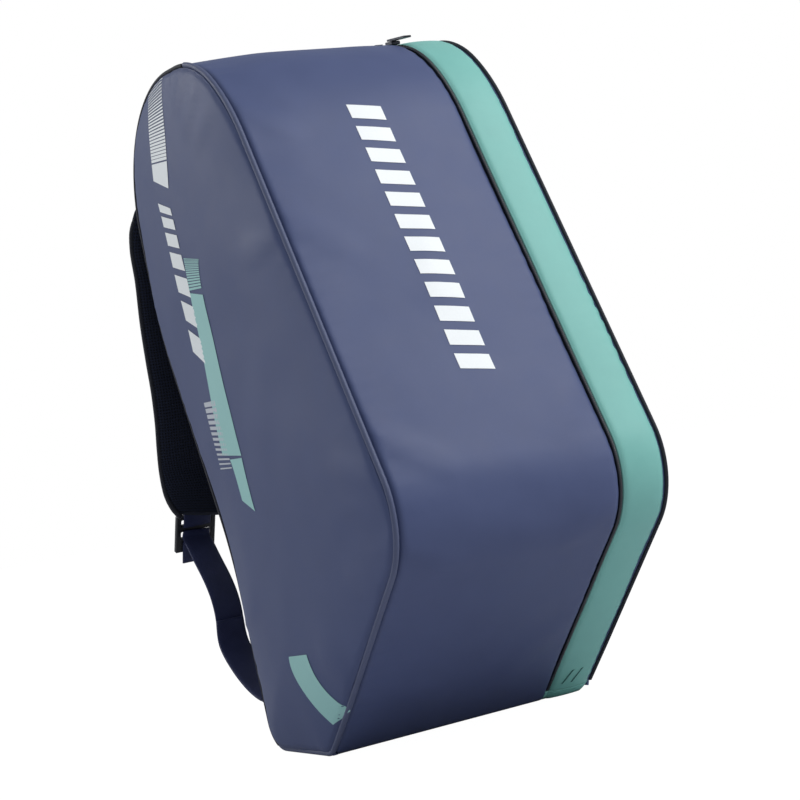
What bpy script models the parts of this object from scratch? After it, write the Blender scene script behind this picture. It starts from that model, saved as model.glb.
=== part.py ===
"""Racket backpack: a flat-faced sports bag with a racket compartment, a zipped side door and two shoulder straps.

Frame: +Z up, -Y to the front, +Y to the wearer's back, -X to the racket compartment's side panel.
All the lengths below are in millimetres, and MM turns them into metres.
"""

import math

import bmesh
import bpy
from mathutils import Matrix, Vector

MM = 0.001

# Overall sizes
WIDTH = 232.0
HEIGHT = 531.0
BASE_FRONT = -42.0
BASE_BACK = 58.0
BELLY = (-214.0, 160.0)
BELLY_RADIUS = 62.0
BROW = (-66.0, 484.0)
CROWN_FRONT = -20.0
CROWN_BACK = 145.0
CROWN_BACK_RADIUS = 106.0
WAIST = (71.0, 155.0)
SHOULDER = (131.0, 335.0)

# Cloth, foam and trim
SKIN = 2.2
SIDE_SKIN = 3.0
TAPE = 1.0
PIPING_RADIUS = 1.8
THIN_PIPING_RADIUS = 1.3
COIL_RADIUS = 1.2
GUSSET_WIDTH = 36.4
DIVIDER_INSET = 52.0
DIVIDER = 2.0
PAD = 6.0
FRONT_FOAM = 4.0
FRONT_BOARD = 1.5
BACK_BOARD = 1.0

# Straps
STRAP_WIDTH = 65.0
STRAP_PAD = 10.0
WEBBING_WIDTH = 25.0
WEBBING = 1.6
LOCK_WIDTH = 36.0
LOCK_LENGTH = 34.0
LOCK_THICKNESS = 4.0

# Clearances
SEAM_GAP = 0.4
LAYER_GAP = 0.4
FOLD_GAP = 0.6
FLOOR_GAP = 6.6

# Derived planes along X
LEFT = -WIDTH / 2
RIGHT = WIDTH / 2
LEFT_SKIN = LEFT + SIDE_SKIN
RIGHT_SKIN = RIGHT - SIDE_SKIN
BAND_LEFT = LEFT + 2 * PIPING_RADIUS + SEAM_GAP
GUSSET_RIGHT = RIGHT_SKIN - SEAM_GAP
GUSSET_LEFT = GUSSET_RIGHT - GUSSET_WIDTH
MAIN_COIL_X = GUSSET_LEFT - 2 * COIL_RADIUS
BAND_RIGHT = MAIN_COIL_X - 2 * COIL_RADIUS
SIDE_COIL_X = BAND_LEFT + 7.3
BACK_LEFT = SIDE_COIL_X + 2 * COIL_RADIUS
DIVIDER_X = LEFT + DIVIDER_INSET
TAPE_OUT = -SKIN - LAYER_GAP
TAPE_IN = TAPE_OUT - TAPE
COIL_DEPTH = -COIL_RADIUS + 0.05

ARC_STEP = math.radians(7.5)


# ---------------------------------------------------------------- side outline


def corners():
    """The side view's corners, anticlockwise seen from +X, as (name, (y, z), radius)."""
    return [
        ("toe", (BASE_FRONT, 0.0), 16.0),
        ("heel", (BASE_BACK, 0.0), 24.0),
        ("waist", WAIST, 250.0),
        ("shoulder", SHOULDER, 250.0),
        ("crown_back", (CROWN_BACK, HEIGHT), CROWN_BACK_RADIUS),
        ("crown_front", (CROWN_FRONT, HEIGHT), 88.0),
        ("brow", BROW, 150.0),
        ("belly", BELLY, BELLY_RADIUS),
    ]


def build_outline():
    """Samples of (length, point, outward normal) round the side view, and each bend's length range and centre."""
    points = [(name, Vector(point), radius) for name, point, radius in corners()]
    samples = []
    bends = {}
    length = 0.0
    last = None
    for index in range(1, len(points) + 1):
        name, corner, radius = points[index % len(points)]
        into = (corner - points[index - 1][1]).normalized()
        out_of = (points[(index + 1) % len(points)][1] - corner).normalized()
        turn = math.atan2(into.cross(out_of), into.dot(out_of))
        tangent = radius * math.tan(abs(turn) / 2)
        side = 1.0 if turn > 0 else -1.0
        normal = Vector((into.y, -into.x))
        start = corner - into * tangent
        centre = start - normal * (side * radius)
        if last is None:
            first_corner, first_out = points[0][1], into
            first_turn = math.atan2(
                (first_corner - points[-1][1]).cross(into),
                (first_corner - points[-1][1]).dot(into),
            )
            last = first_corner + first_out * (points[0][2] * math.tan(first_turn / 2))
            samples.append((0.0, last, normal))
        length += (start - last).length
        steps = max(2, math.ceil(abs(turn) / ARC_STEP))
        begin = length
        for step in range(steps + 1):
            angle = turn * step / steps
            spun = Matrix.Rotation(angle, 2) @ normal
            point = centre + spun * (side * radius)
            samples.append((begin + radius * abs(angle), point, spun))
        length = begin + radius * abs(turn)
        last = samples[-1][1]
        bends[name] = (begin, length, centre, radius)
    return samples, bends


OUTLINE, BENDS = build_outline()


def locate(length):
    """The point and the outward normal at a length along the outline."""
    for before, after in zip(OUTLINE, OUTLINE[1:]):
        if before[0] <= length <= after[0] and after[0] > before[0]:
            share = (length - before[0]) / (after[0] - before[0])
            normal = before[2].lerp(after[2], share).normalized()
            return before[1].lerp(after[1], share), normal
    return OUTLINE[-1][1], OUTLINE[-1][2]


def run(start, end):
    """(point, normal) pairs from one length to another, with the samples between."""
    inside = [(p, n) for s, p, n in OUTLINE if start + 0.3 < s < end - 0.3]
    return [locate(start)] + inside + [locate(end)]


def shifted(start, end, offset):
    return [point + normal * offset for point, normal in run(start, end)]


def on_bend(name, degrees):
    """The length at an angle past the start of a bend, or before its end when negative."""
    begin, end, _, radius = BENDS[name]
    return (begin if degrees >= 0 else end) + radius * math.radians(degrees)


ZIP_BACK = on_bend("crown_back", -30.0)
FOLD_TOP = on_bend("crown_front", 11.0)
FOLD_BOTTOM = on_bend("heel", 29.0)
DOOR_FOLD_BOTTOM = on_bend("heel", 22.0)
GUSSET_END = BENDS["toe"][0] - 4.0
PANEL_END = OUTLINE[-1][0] - SEAM_GAP
BASE_END = FOLD_BOTTOM
YOKE_START = on_bend("crown_back", 12.0)
YOKE_END = on_bend("crown_back", 36.0)


# ---------------------------------------------------------------- mesh builders


def clear_scene():
    for item in list(bpy.data.objects):
        bpy.data.objects.remove(item, do_unlink=True)


def material(name, colour, roughness, metallic=0.0):
    surface = bpy.data.materials.new(name)
    surface.use_nodes = True
    shader = surface.node_tree.nodes["Principled BSDF"]
    shader.inputs["Base Color"].default_value = (*colour, 1.0)
    shader.inputs["Roughness"].default_value = roughness
    shader.inputs["Metallic"].default_value = metallic
    return surface


FABRIC = ((0.08, 0.09, 0.17), 0.8, 0.0)
TEAL = ((0.22, 0.55, 0.47), 0.8, 0.0)
BLACK_CLOTH = ((0.012, 0.013, 0.02), 0.9, 0.0)
BLACK_PLASTIC = ((0.01, 0.01, 0.012), 0.4, 0.0)
GREY_METAL = ((0.35, 0.36, 0.38), 0.35, 1.0)


def build(name, verts, faces, look, origin=(0.0, 0.0, 0.0), smooth=False):
    """An object from points in millimetres, with its own origin and its own material."""
    base = Vector(origin)
    mesh = bpy.data.meshes.new(name)
    mesh.from_pydata([(Vector(v) - base) * MM for v in verts], [], faces)
    shape = bmesh.new()
    shape.from_mesh(mesh)
    bmesh.ops.recalc_face_normals(shape, faces=shape.faces)
    shape.to_mesh(mesh)
    shape.free()
    mesh.materials.append(material(name, *look))
    if smooth:
        mesh.shade_smooth()
    item = bpy.data.objects.new(name, mesh)
    item.location = base * MM
    bpy.context.scene.collection.objects.link(item)
    return item


def loft(name, rings, look, origin=(0.0, 0.0, 0.0), smooth=False):
    """A closed body through rings of the same number of points, capped at both ends."""
    count = len(rings[0])
    verts = [point for ring in rings for point in ring]
    faces = [tuple(range(count)), tuple(range(len(verts) - count, len(verts)))]
    for ring in range(len(rings) - 1):
        for corner in range(count):
            after = (corner + 1) % count
            low = ring * count
            faces.append((low + corner, low + after, low + count + after, low + count + corner))
    return build(name, verts, faces, look, origin, smooth)


def band(name, start, end, x_low, x_high, inner, outer, look, origin=(0.0, 0.0, 0.0)):
    """A strip of cloth that follows the outline, between two planes and two offsets."""
    rings = []
    for point, normal in run(start, end):
        low = point + normal * inner
        high = point + normal * outer
        rings.append(
            [(x_low, *low), (x_high, *low), (x_high, *high), (x_low, *high)]
        )
    return loft(name, rings, look, origin)


def slab(name, polygon, x_low, x_high, look, origin=(0.0, 0.0, 0.0)):
    """A flat sheet across X, from a polygon of (y, z) points."""
    return loft(name, [[(x, p[0], p[1]) for p in polygon] for x in (x_low, x_high)], look, origin)


def circle(centre, across, up, radius, count):
    angles = [2 * math.pi * index / count for index in range(count)]
    return [centre + across * (radius * math.cos(a)) + up * (radius * math.sin(a)) for a in angles]


def outline_tube(name, start, end, x, offset, radius, look, origin=(0.0, 0.0, 0.0), count=6):
    """A cord or a zip's coil that follows the outline."""
    rings = []
    for point, normal in run(start, end):
        middle = Vector((x, *(point + normal * offset)))
        rings.append(circle(middle, Vector((1, 0, 0)), Vector((0, *normal)), radius, count))
    return loft(name, rings, look, origin, smooth=True)


def tube(name, path, radius, look, origin=(0.0, 0.0, 0.0), count=10):
    """A round bar through points, each ring square to the path."""
    points = [Vector(p) for p in path]
    flat = (points[1] - points[0]).cross(points[-2] - points[1]).normalized()
    rings = []
    for index, point in enumerate(points):
        along = points[min(index + 1, len(points) - 1)] - points[max(index - 1, 0)]
        along.normalize()
        rings.append(circle(point, flat, along.cross(flat).normalized(), radius, count))
    return loft(name, rings, look, origin, smooth=True)


def ribbon(name, stations, look, origin=(0.0, 0.0, 0.0), round_edge=True):
    """A strap through stations of (x, y, z, width, thickness), its width along X."""
    rings = []
    for index, (x, y, z, width, thick) in enumerate(stations):
        before = stations[max(index - 1, 0)]
        after = stations[min(index + 1, len(stations) - 1)]
        along = Vector((0.0, after[1] - before[1], after[2] - before[2])).normalized()
        out = Vector((0.0, -along.z, along.y))
        middle = Vector((x, y, z))
        across = Vector((width / 2, 0.0, 0.0))
        nip = Vector((min(width, thick) * 0.3, 0.0, 0.0)) if round_edge else Vector()
        half = out * (thick / 2)
        quarter = out * (thick / 4)
        ring = [middle - across + quarter, middle - across - quarter]
        ring += [middle - across + nip - half, middle + across - nip - half]
        ring += [middle + across - quarter, middle + across + quarter]
        ring += [middle + across - nip + half, middle - across + nip + half]
        if not round_edge:
            ring = [middle - across + half, middle - across - half]
            ring += [middle + across - half, middle + across + half]
        rings.append(ring)
    return loft(name, rings, look, origin)


def pierced_plate(name, across, along, holes, frame, thick, look, origin):
    """A plate of cells, left open where holes says, laid in a frame of (corner, right, down, out)."""
    corner, right, down, out = frame
    used = {}
    verts = []
    faces = []

    def vertex(i, j, side):
        if (i, j, side) not in used:
            used[i, j, side] = len(verts)
            flat = corner + right * across[i] + down * along[j]
            verts.append(flat + out * (thick * (side - 0.5)))
        return used[i, j, side]

    def solid(i, j):
        inside = 0 <= i < len(across) - 1 and 0 <= j < len(along) - 1
        return inside and (i, j) not in holes

    sides = [((0, 0), (1, 0), (0, -1)), ((1, 0), (1, 1), (1, 0))]
    sides += [((1, 1), (0, 1), (0, 1)), ((0, 1), (0, 0), (-1, 0))]
    for i in range(len(across) - 1):
        for j in range(len(along) - 1):
            if not solid(i, j):
                continue
            for side in (0, 1):
                cell = [(i, j), (i + 1, j), (i + 1, j + 1), (i, j + 1)]
                faces.append([vertex(a, b, side) for a, b in cell])
            for a, b, step in sides:
                if not solid(i + step[0], j + step[1]):
                    low = (i + a[0], j + a[1])
                    high = (i + b[0], j + b[1])
                    faces.append([vertex(*low, 0), vertex(*high, 0), vertex(*high, 1), vertex(*low, 1)])
    return build(name, verts, faces, look, origin)


def pouch(name, x_low, x_high, y_low, y_high, z_low, z_high, wall, look, origin=(0.0, 0.0, 0.0)):
    """A pocket, open at the top."""

    def ring(inset, z):
        xs = (x_low + inset, x_high - inset)
        ys = (y_low + inset, y_high - inset)
        return [(xs[0], ys[0], z), (xs[1], ys[0], z), (xs[1], ys[1], z), (xs[0], ys[1], z)]

    rings = [ring(0, z_low), ring(0, z_high), ring(wall, z_high), ring(wall, z_low + wall)]
    return loft(name, rings, look, origin)


def block(name, centre, size, spin, look, origin, bevel=0.6):
    """A small bevelled block, turned about X by spin."""
    turn = Matrix.Rotation(spin, 3, "X")
    signs = [(-1, -1), (1, -1), (1, 1), (-1, 1)]
    rings = []
    for level in (-1, 1):
        ring = []
        for a, b in signs:
            corner = Vector((a * size[0] / 2, b * size[1] / 2, level * size[2] / 2))
            ring.append(Vector(centre) + turn @ corner)
        rings.append(ring)
    item = loft(name, rings, look, origin)
    edge = item.modifiers.new("edge", "BEVEL")
    edge.width = bevel * MM
    edge.segments = 2
    return item


# ---------------------------------------------------------------- shell


def make_shell():
    """The bent front, top, back and base panels, which carry everything else."""
    front_start = FOLD_TOP + SEAM_GAP
    band("front_panel", front_start, PANEL_END, BAND_LEFT, BAND_RIGHT, -SKIN, 0.0, FABRIC)
    top_start = ZIP_BACK + SEAM_GAP
    band("top_panel", top_start, FOLD_TOP, BACK_LEFT, BAND_RIGHT, -SKIN, 0.0, FABRIC)
    back_start = BASE_END + SEAM_GAP
    band("back_panel", back_start, ZIP_BACK, BACK_LEFT, GUSSET_RIGHT, -SKIN, 0.0, BLACK_CLOTH)
    make_base()
    outer = -SKIN - LAYER_GAP
    back = (WAIST[1], BENDS["crown_back"][0])
    right = GUSSET_RIGHT - 8
    band("back_stiffener", *back, DIVIDER_X + 6, right, outer - BACK_BOARD, outer, BLACK_PLASTIC)
    make_front_layers(outer)
    divider = shifted(0.0, OUTLINE[-1][0] - 1.0, -SKIN - LAYER_GAP)
    slab("divider_panel", divider, DIVIDER_X, DIVIDER_X + DIVIDER, BLACK_CLOTH)
    pouch(
        "inner_pocket", DIVIDER_X + DIVIDER + SEAM_GAP, DIVIDER_X + DIVIDER + 22,
        -110.0, 60.0, 150.0, 330.0, 1.2, BLACK_CLOTH,
    )


def make_front_layers(outer):
    """The foam behind the front panel and the board that keeps the front flat, in the main compartment."""
    left = DIVIDER_X + DIVIDER + SEAM_GAP
    right = MAIN_COIL_X - 15.0
    start, stop = FOLD_TOP + 2, BENDS["toe"][0] - 8
    band("front_padding", start, stop, left, right, outer - FRONT_FOAM, outer, BLACK_CLOTH)
    inner = outer - FRONT_FOAM - LAYER_GAP
    start, stop = BENDS["brow"][1], stop - 6
    band("front_board", start, stop, left + 3, right - 3, inner - FRONT_BOARD, inner, BLACK_PLASTIC)


def make_base():
    """The base panel, curved up into the front and the back, and the board inside it."""
    rings = []
    stations = run(0.0, BASE_END)
    for point, normal in stations:
        low = point - normal * SKIN
        rings.append(
            [(BAND_LEFT, *low), (GUSSET_RIGHT, *low), (GUSSET_RIGHT, *point), (BAND_LEFT, *point)]
        )
    loft("base_panel", rings, BLACK_CLOTH)
    flat = (locate(0.0)[0][0] + 2.0, locate(BENDS["heel"][0])[0][0] - 2.0)
    low = SKIN + LAYER_GAP
    polygon = [(flat[0], low), (flat[1], low), (flat[1], low + 3.0), (flat[0], low + 3.0)]
    slab("base_board", polygon, DIVIDER_X + 4, GUSSET_RIGHT - 6, BLACK_PLASTIC)


# ---------------------------------------------------------------- racket side


def fold_line(top, bottom):
    """The straight line a flap bends along, as two (y, z) points on the outline."""
    return locate(top)[0], locate(bottom)[0]


LEFT_FOLD = fold_line(FOLD_TOP, FOLD_BOTTOM)
DOOR_FOLD = fold_line(ZIP_BACK, DOOR_FOLD_BOTTOM)
FLAP_AXIS = (LEFT, *LEFT_FOLD[1])
DOOR_AXIS = (RIGHT, *DOOR_FOLD[1])


def half_panel(polygon, fold, keep, gap):
    """The part of a polygon on one side of a fold line: keep is 1 behind it and -1 in front."""
    along = (fold[0] - fold[1]).normalized()
    across = Vector((along.y, -along.x)) * keep
    kept = []
    count = len(polygon)
    for index in range(count):
        here = polygon[index]
        after = polygon[(index + 1) % count]
        a = (here - fold[1]).dot(across) - gap
        b = (after - fold[1]).dot(across) - gap
        if a >= 0:
            kept.append(here)
        if (a >= 0) != (b >= 0):
            kept.append(here.lerp(after, a / (a - b)))
    return kept


def make_racket_side():
    """The flat side panel, whose rear half is a zipped flap, with its corded seams."""
    inset = 2 * PIPING_RADIUS + LAYER_GAP - 0.2
    whole = shifted(0.0, OUTLINE[-1][0] - 1.0, -inset)
    front = half_panel(whole, LEFT_FOLD, -1, FOLD_GAP / 2)
    slab("side_panel_front", front, LEFT, LEFT_SKIN, FABRIC)
    x = LEFT + PIPING_RADIUS
    depth = -PIPING_RADIUS
    end = OUTLINE[-1][0]
    outline_tube("seam_piping_upper", FOLD_TOP + 1, end - 0.5, x, depth, PIPING_RADIUS, FABRIC)
    outline_tube("seam_piping_base", 0.0, FOLD_BOTTOM - 1, x, depth, PIPING_RADIUS, FABRIC)
    rear = half_panel(whole, LEFT_FOLD, 1, FOLD_GAP / 2)
    slab("side_flap", rear, LEFT, LEFT_SKIN, FABRIC, FLAP_AXIS)
    start, stop = FOLD_BOTTOM + 2, FOLD_TOP - 2
    outline_tube("flap_piping", start, stop, x, depth, PIPING_RADIUS, BLACK_CLOTH, FLAP_AXIS)
    edge = SIDE_COIL_X - 2 * COIL_RADIUS
    band("flap_edge", start, stop, BAND_LEFT, edge, -SKIN, 0.0, BLACK_CLOTH, FLAP_AXIS)
    tape = SIDE_COIL_X - 0.6
    band("flap_zip_tape", start, stop, BAND_LEFT, tape, TAPE_IN, TAPE_OUT, BLACK_CLOTH, FLAP_AXIS)
    band("side_zip_tape", start, stop, SIDE_COIL_X, SIDE_COIL_X + 14, TAPE_IN, TAPE_OUT, BLACK_CLOTH)
    outline_tube("side_zip_coil", start, stop, SIDE_COIL_X, COIL_DEPTH, COIL_RADIUS, BLACK_PLASTIC)


# ---------------------------------------------------------------- door side


def make_door_side():
    """The gusset and side panel that open as one door, and the strip behind its fold."""
    start, stop = ZIP_BACK + SEAM_GAP, GUSSET_END
    band("door_gusset", start, stop, GUSSET_LEFT, GUSSET_RIGHT, -SKIN, 0.0, TEAL, DOOR_AXIS)
    tape = MAIN_COIL_X + 0.4
    band("door_zip_tape", start, stop, tape, tape + 14, TAPE_IN, TAPE_OUT, BLACK_CLOTH, DOOR_AXIS)
    band("main_zip_tape", start, stop, tape - 14.5, tape - 0.6, TAPE_IN, TAPE_OUT, BLACK_CLOTH)
    outline_tube("main_zip_coil", start, stop, MAIN_COIL_X, COIL_DEPTH, COIL_RADIUS, BLACK_PLASTIC)
    x = RIGHT - THIN_PIPING_RADIUS - 0.1
    depth = -THIN_PIPING_RADIUS
    radius = THIN_PIPING_RADIUS
    outline_tube("door_piping", start, stop, x, depth, radius, BLACK_CLOTH, DOOR_AXIS)
    rear_start = DOOR_FOLD_BOTTOM + 1
    outline_tube("back_edge_piping", rear_start, ZIP_BACK - 1, x, depth, radius, BLACK_CLOTH)
    inset = 2 * radius + LAYER_GAP - 0.1
    door = shifted(start, stop, -inset)
    foot = Vector((DOOR_FOLD[1][0], FLOOR_GAP))
    door = half_panel(door + [foot + Vector((20.0, 0.0))], DOOR_FOLD, -1, FOLD_GAP / 2)
    slab("door_panel", door, RIGHT_SKIN, RIGHT, FABRIC, DOOR_AXIS)
    make_rear_strip(inset)
    pouch(
        "door_pocket", RIGHT_SKIN - 20, RIGHT_SKIN - SEAM_GAP, -120.0, 20.0, 150.0, 310.0,
        1.2, BLACK_CLOTH, DOOR_AXIS,
    )


def make_rear_strip(inset):
    """The sewn strip behind the door's fold, with a low sill under the door."""
    rear = shifted(0.0, ZIP_BACK, -inset)
    rear = half_panel(rear + [locate(ZIP_BACK)[0]], DOOR_FOLD, 1, FOLD_GAP / 2)
    slab("side_strip", rear, RIGHT_SKIN, RIGHT, FABRIC)
    top = FLOOR_GAP - SEAM_GAP
    back = DOOR_FOLD[1][0] - 1.5
    sill = [(BASE_FRONT, inset), (back, inset), (back, top), (BASE_FRONT - 4.0, top)]
    slab("side_sill", sill, RIGHT_SKIN, RIGHT, FABRIC)
    start, stop = GUSSET_END + SEAM_GAP, PANEL_END
    left = BAND_RIGHT + SEAM_GAP
    band("toe_strip", start, stop, left, GUSSET_RIGHT, -SKIN, 0.0, FABRIC)


# ---------------------------------------------------------------- back and straps


def make_back():
    """The pads on the back panel, the yoke that the straps are sewn to and the grab handle."""
    low = LAYER_GAP
    pads = (BENDS["shoulder"][0] - 95, BENDS["crown_back"][0] - 35)
    band("back_pad_left", *pads, -85.0, -12.0, low, low + PAD, BLACK_CLOTH)
    band("back_pad_right", *pads, 12.0, 85.0, low, low + PAD, BLACK_CLOTH)
    lumbar = (BENDS["heel"][1] + 36, BENDS["shoulder"][0] - 103)
    band("lumbar_pad", *lumbar, -70.0, 70.0, low, low + PAD, BLACK_CLOTH)
    band("strap_yoke", YOKE_START, YOKE_END, -100.0, 100.0, low, low + SKIN, BLACK_CLOTH)
    make_handle()


HANDLE_RADIUS = 4.0
HANDLE_POINT, HANDLE_NORMAL = locate(on_bend("crown_back", 30.0))
HANDLE_AXIS = HANDLE_POINT + HANDLE_NORMAL * (LAYER_GAP + SKIN + 0.5 + HANDLE_RADIUS)


def make_handle():
    """The rolled grab handle, which hangs from the yoke like a bail."""
    down = Vector((HANDLE_NORMAL.y, -HANDLE_NORMAL.x))
    reach = (Matrix.Rotation(math.radians(14.0), 2) @ down).normalized()
    half = 33.0
    shape = [(-half, 0.0), (-half, 10.0), (-half + 3, 18.0), (-half + 10, 24.0), (-half + 19, 26.0)]
    shape = shape + [(-a, r) for a, r in reversed(shape)]
    path = [(a, *(HANDLE_AXIS + reach * r)) for a, r in shape]
    tube("grab_handle", path, HANDLE_RADIUS, BLACK_CLOTH, (0.0, *HANDLE_AXIS))


def strap_stations():
    """The left strap's pad from the yoke down: (x, y, z, width, thickness)."""
    point, normal = locate(on_bend("crown_back", 24.0))
    top = point + normal * (LAYER_GAP + SKIN + 0.5 + 3.0)
    wide, thick = STRAP_WIDTH, STRAP_PAD
    return [
        (-66.0, top.x, top.y, 0.76 * wide, 6.0),
        (-71.0, top.x + 8.0, top.y - 15.0, 0.86 * wide, 8.0),
        (-81.0, top.x + 18.0, top.y - 32.0, 0.96 * wide, 9.0),
        (-83.0, top.x + 23.0, top.y - 52.0, wide, 11.0),
        (-83.0, 161.0, 383.0, wide, thick),
        (-83.0, 166.5, 350.0, wide, thick),
        (-83.0, 168.5, 318.0, wide, thick),
        (-83.0, 169.0, 293.0, wide, thick),
        (-83.0, 172.5, 268.0, wide, thick),
        (-83.0, 178.5, 246.0, wide, thick),
        (-83.0, 184.0, 226.0, 0.98 * wide, thick),
        (-84.5, 183.5, 207.0, 0.92 * wide, 11.0),
        (-86.5, 180.0, 194.0, 0.77 * wide, 9.0),
        (-88.0, 177.0, 187.0, 0.6 * wide, 6.0),
    ]


LOCK_X = -88.0
LOCK_TOP = Vector((190.0, 188.0))
LOCK_DOWN = Vector((16.0, -30.0)).normalized()
LOCK_OUT = Vector((-LOCK_DOWN.y, LOCK_DOWN.x))
ANCHOR = Vector((0.0, 34.0))


def mirrored(stations, side):
    """Stations of the left strap, or of the right one when side is 1."""
    return [(station[0] * -side, *station[1:]) for station in stations]


def lock_layer(down):
    """A (y, z) point on the webbing layer behind the lock, at a distance from its top."""
    gap = LOCK_THICKNESS / 2 + 0.5 + WEBBING / 2
    return LOCK_TOP + LOCK_DOWN * down - LOCK_OUT * gap


def make_strap(label, side):
    """One shoulder strap: pad, ladder lock, webbing, its free tail and the tab it is sewn to."""
    ribbon("strap_pad_" + label, mirrored(strap_stations(), side), BLACK_CLOTH)
    wide = WEBBING_WIDTH
    upper, middle = lock_layer(-2.0), lock_layer(10.0)
    keeper = [(LOCK_X, 186.4, 195.0, wide, WEBBING), (LOCK_X, *upper, wide, WEBBING)]
    keeper.append((LOCK_X, *middle, wide, WEBBING))
    ribbon("strap_keeper_" + label, mirrored(keeper, side), FABRIC, round_edge=False)
    path = [lock_layer(14.0), lock_layer(20.0), (188.0, 159.0), (179.0, 148.5), (165.0, 132.0)]
    path += [(156.0, 117.0), (152.5, 103.0), (153.0, 90.0)]
    web = [(LOCK_X - 0.5 * index, *p, wide, WEBBING) for index, p in enumerate(path)]
    ribbon("strap_webbing_" + label, mirrored(web, side), FABRIC, round_edge=False)
    path = [lock_layer(24.0), lock_layer(34.0), (207.0, 148.0)]
    tail = [(LOCK_X, *p, wide, WEBBING) for p in path]
    ribbon("strap_tail_" + label, mirrored(tail, side), FABRIC, round_edge=False)
    make_anchor(label, side, web[-1])
    make_lock(label, side)


def make_anchor(label, side, end):
    """The patch on the back's lower corner, and the folded tab that holds the webbing."""
    begin = BENDS["heel"][1] + 2
    low = LAYER_GAP
    edges = sorted((LOCK_X * -side - 13.5, LOCK_X * -side + 13.5))
    band("anchor_patch_" + label, begin, begin + 26, *edges, low, low + 2.0, FABRIC)
    point, normal = locate(begin + 13)
    root = point + normal * (low + 2.0 + 0.5)
    tab = [
        (LOCK_X, *root, 25.0, 2.4),
        (LOCK_X - 1.0, 88.0, 34.0, 27.0, 2.4),
        (LOCK_X - 2.5, 112.0, 43.0, 28.0, 2.4),
        (LOCK_X - 3.5, 135.0, 60.0, 28.0, 2.4),
        (LOCK_X - 4.0, 150.5, 79.0, 27.0, 2.4),
        (LOCK_X - 4.0, end[1] - 2.6, 99.0, 25.0, 2.4),
    ]
    ribbon("anchor_tab_" + label, mirrored(tab, side), FABRIC, round_edge=False)


def make_lock(label, side):
    """The ladder lock, which tips about its top bar to let the webbing slip."""
    half = LOCK_WIDTH / 2
    across = [0.0, 4.5, LOCK_WIDTH - 4.5, LOCK_WIDTH]
    along = [0.0, 4.0, 9.0, 15.0, 21.0, 27.0, LOCK_LENGTH]
    corner = Vector((LOCK_X * -side - half, *LOCK_TOP))
    down = Vector((0.0, *LOCK_DOWN))
    out = Vector((0.0, *LOCK_OUT))
    pivot = (LOCK_X * -side, *LOCK_TOP)
    frame = (corner, Vector((1.0, 0.0, 0.0)), down, out)
    holes = {(1, 1), (1, 3)}
    item = pierced_plate(
        "ladder_lock_" + label, across, along, holes, frame, LOCK_THICKNESS, BLACK_PLASTIC, pivot
    )
    edge = item.modifiers.new("edge", "BEVEL")
    edge.width = 0.7 * MM
    edge.segments = 1


# ---------------------------------------------------------------- zip sliders


def make_slider(label, length, x, pull_turn, forward):
    """A zip slider on the outline's curve, and the pull hinged at its crown."""
    _, _, centre, _ = bend_at(length)
    point, normal = locate(length)
    spin = math.atan2(-normal.x, normal.y)
    middle = point + normal * (COIL_DEPTH + COIL_RADIUS + 0.35 + 1.5)
    size = (8.0, 11.0, 3.0)
    origin = (x, *centre)
    block(label + "_slider", (x, *middle), size, spin, GREY_METAL, origin)
    along = Vector((normal.y, -normal.x)) * forward
    hinge = point + normal * (COIL_DEPTH + COIL_RADIUS + 0.35 + 3.0 + 1.2) - along * 2.0
    turned = Matrix.Rotation(pull_turn, 2) @ along
    out = Vector((-turned.y, turned.x)) * forward
    frame = (
        Vector((x - 3.5, *hinge)), Vector((1.0, 0.0, 0.0)),
        Vector((0.0, *turned)), Vector((0.0, *out)),
    )
    across = [0.0, 2.0, 5.0, 7.0]
    steps = [-0.6, 1.5, 5.0, 20.0, 26.0]
    plate = pierced_plate(
        label + "_pull", across, steps, {(1, 1)}, frame, 1.6, GREY_METAL, (x, *hinge)
    )
    return plate


def bend_at(length):
    """The bend that holds a length, or the nearest one."""
    return min(BENDS.values(), key=lambda b: max(b[0] - length, length - b[1], 0.0))


FRONT_SLIDER = on_bend("crown_front", 6.0)
REAR_SLIDER = on_bend("crown_back", -0.5)
SIDE_SLIDER = on_bend("crown_back", 50.0)


def make_sliders():
    """Two sliders meet on top of the main zip, and one closes the racket flap."""
    make_slider("front", FRONT_SLIDER, MAIN_COIL_X, 0.0, -1.0)
    make_slider("rear", REAR_SLIDER, MAIN_COIL_X, 0.0, 1.0)
    make_slider("side", SIDE_SLIDER, SIDE_COIL_X, 0.0, 1.0)


clear_scene()
make_shell()
make_racket_side()
make_door_side()
make_back()
make_strap("left", -1.0)
make_strap("right", 1.0)
make_sliders()
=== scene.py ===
"""Racket backpack: cloth, foam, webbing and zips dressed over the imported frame."""

import math

import bmesh
import bpy
import numpy as np
from mathutils import Matrix, Vector, noise


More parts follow.
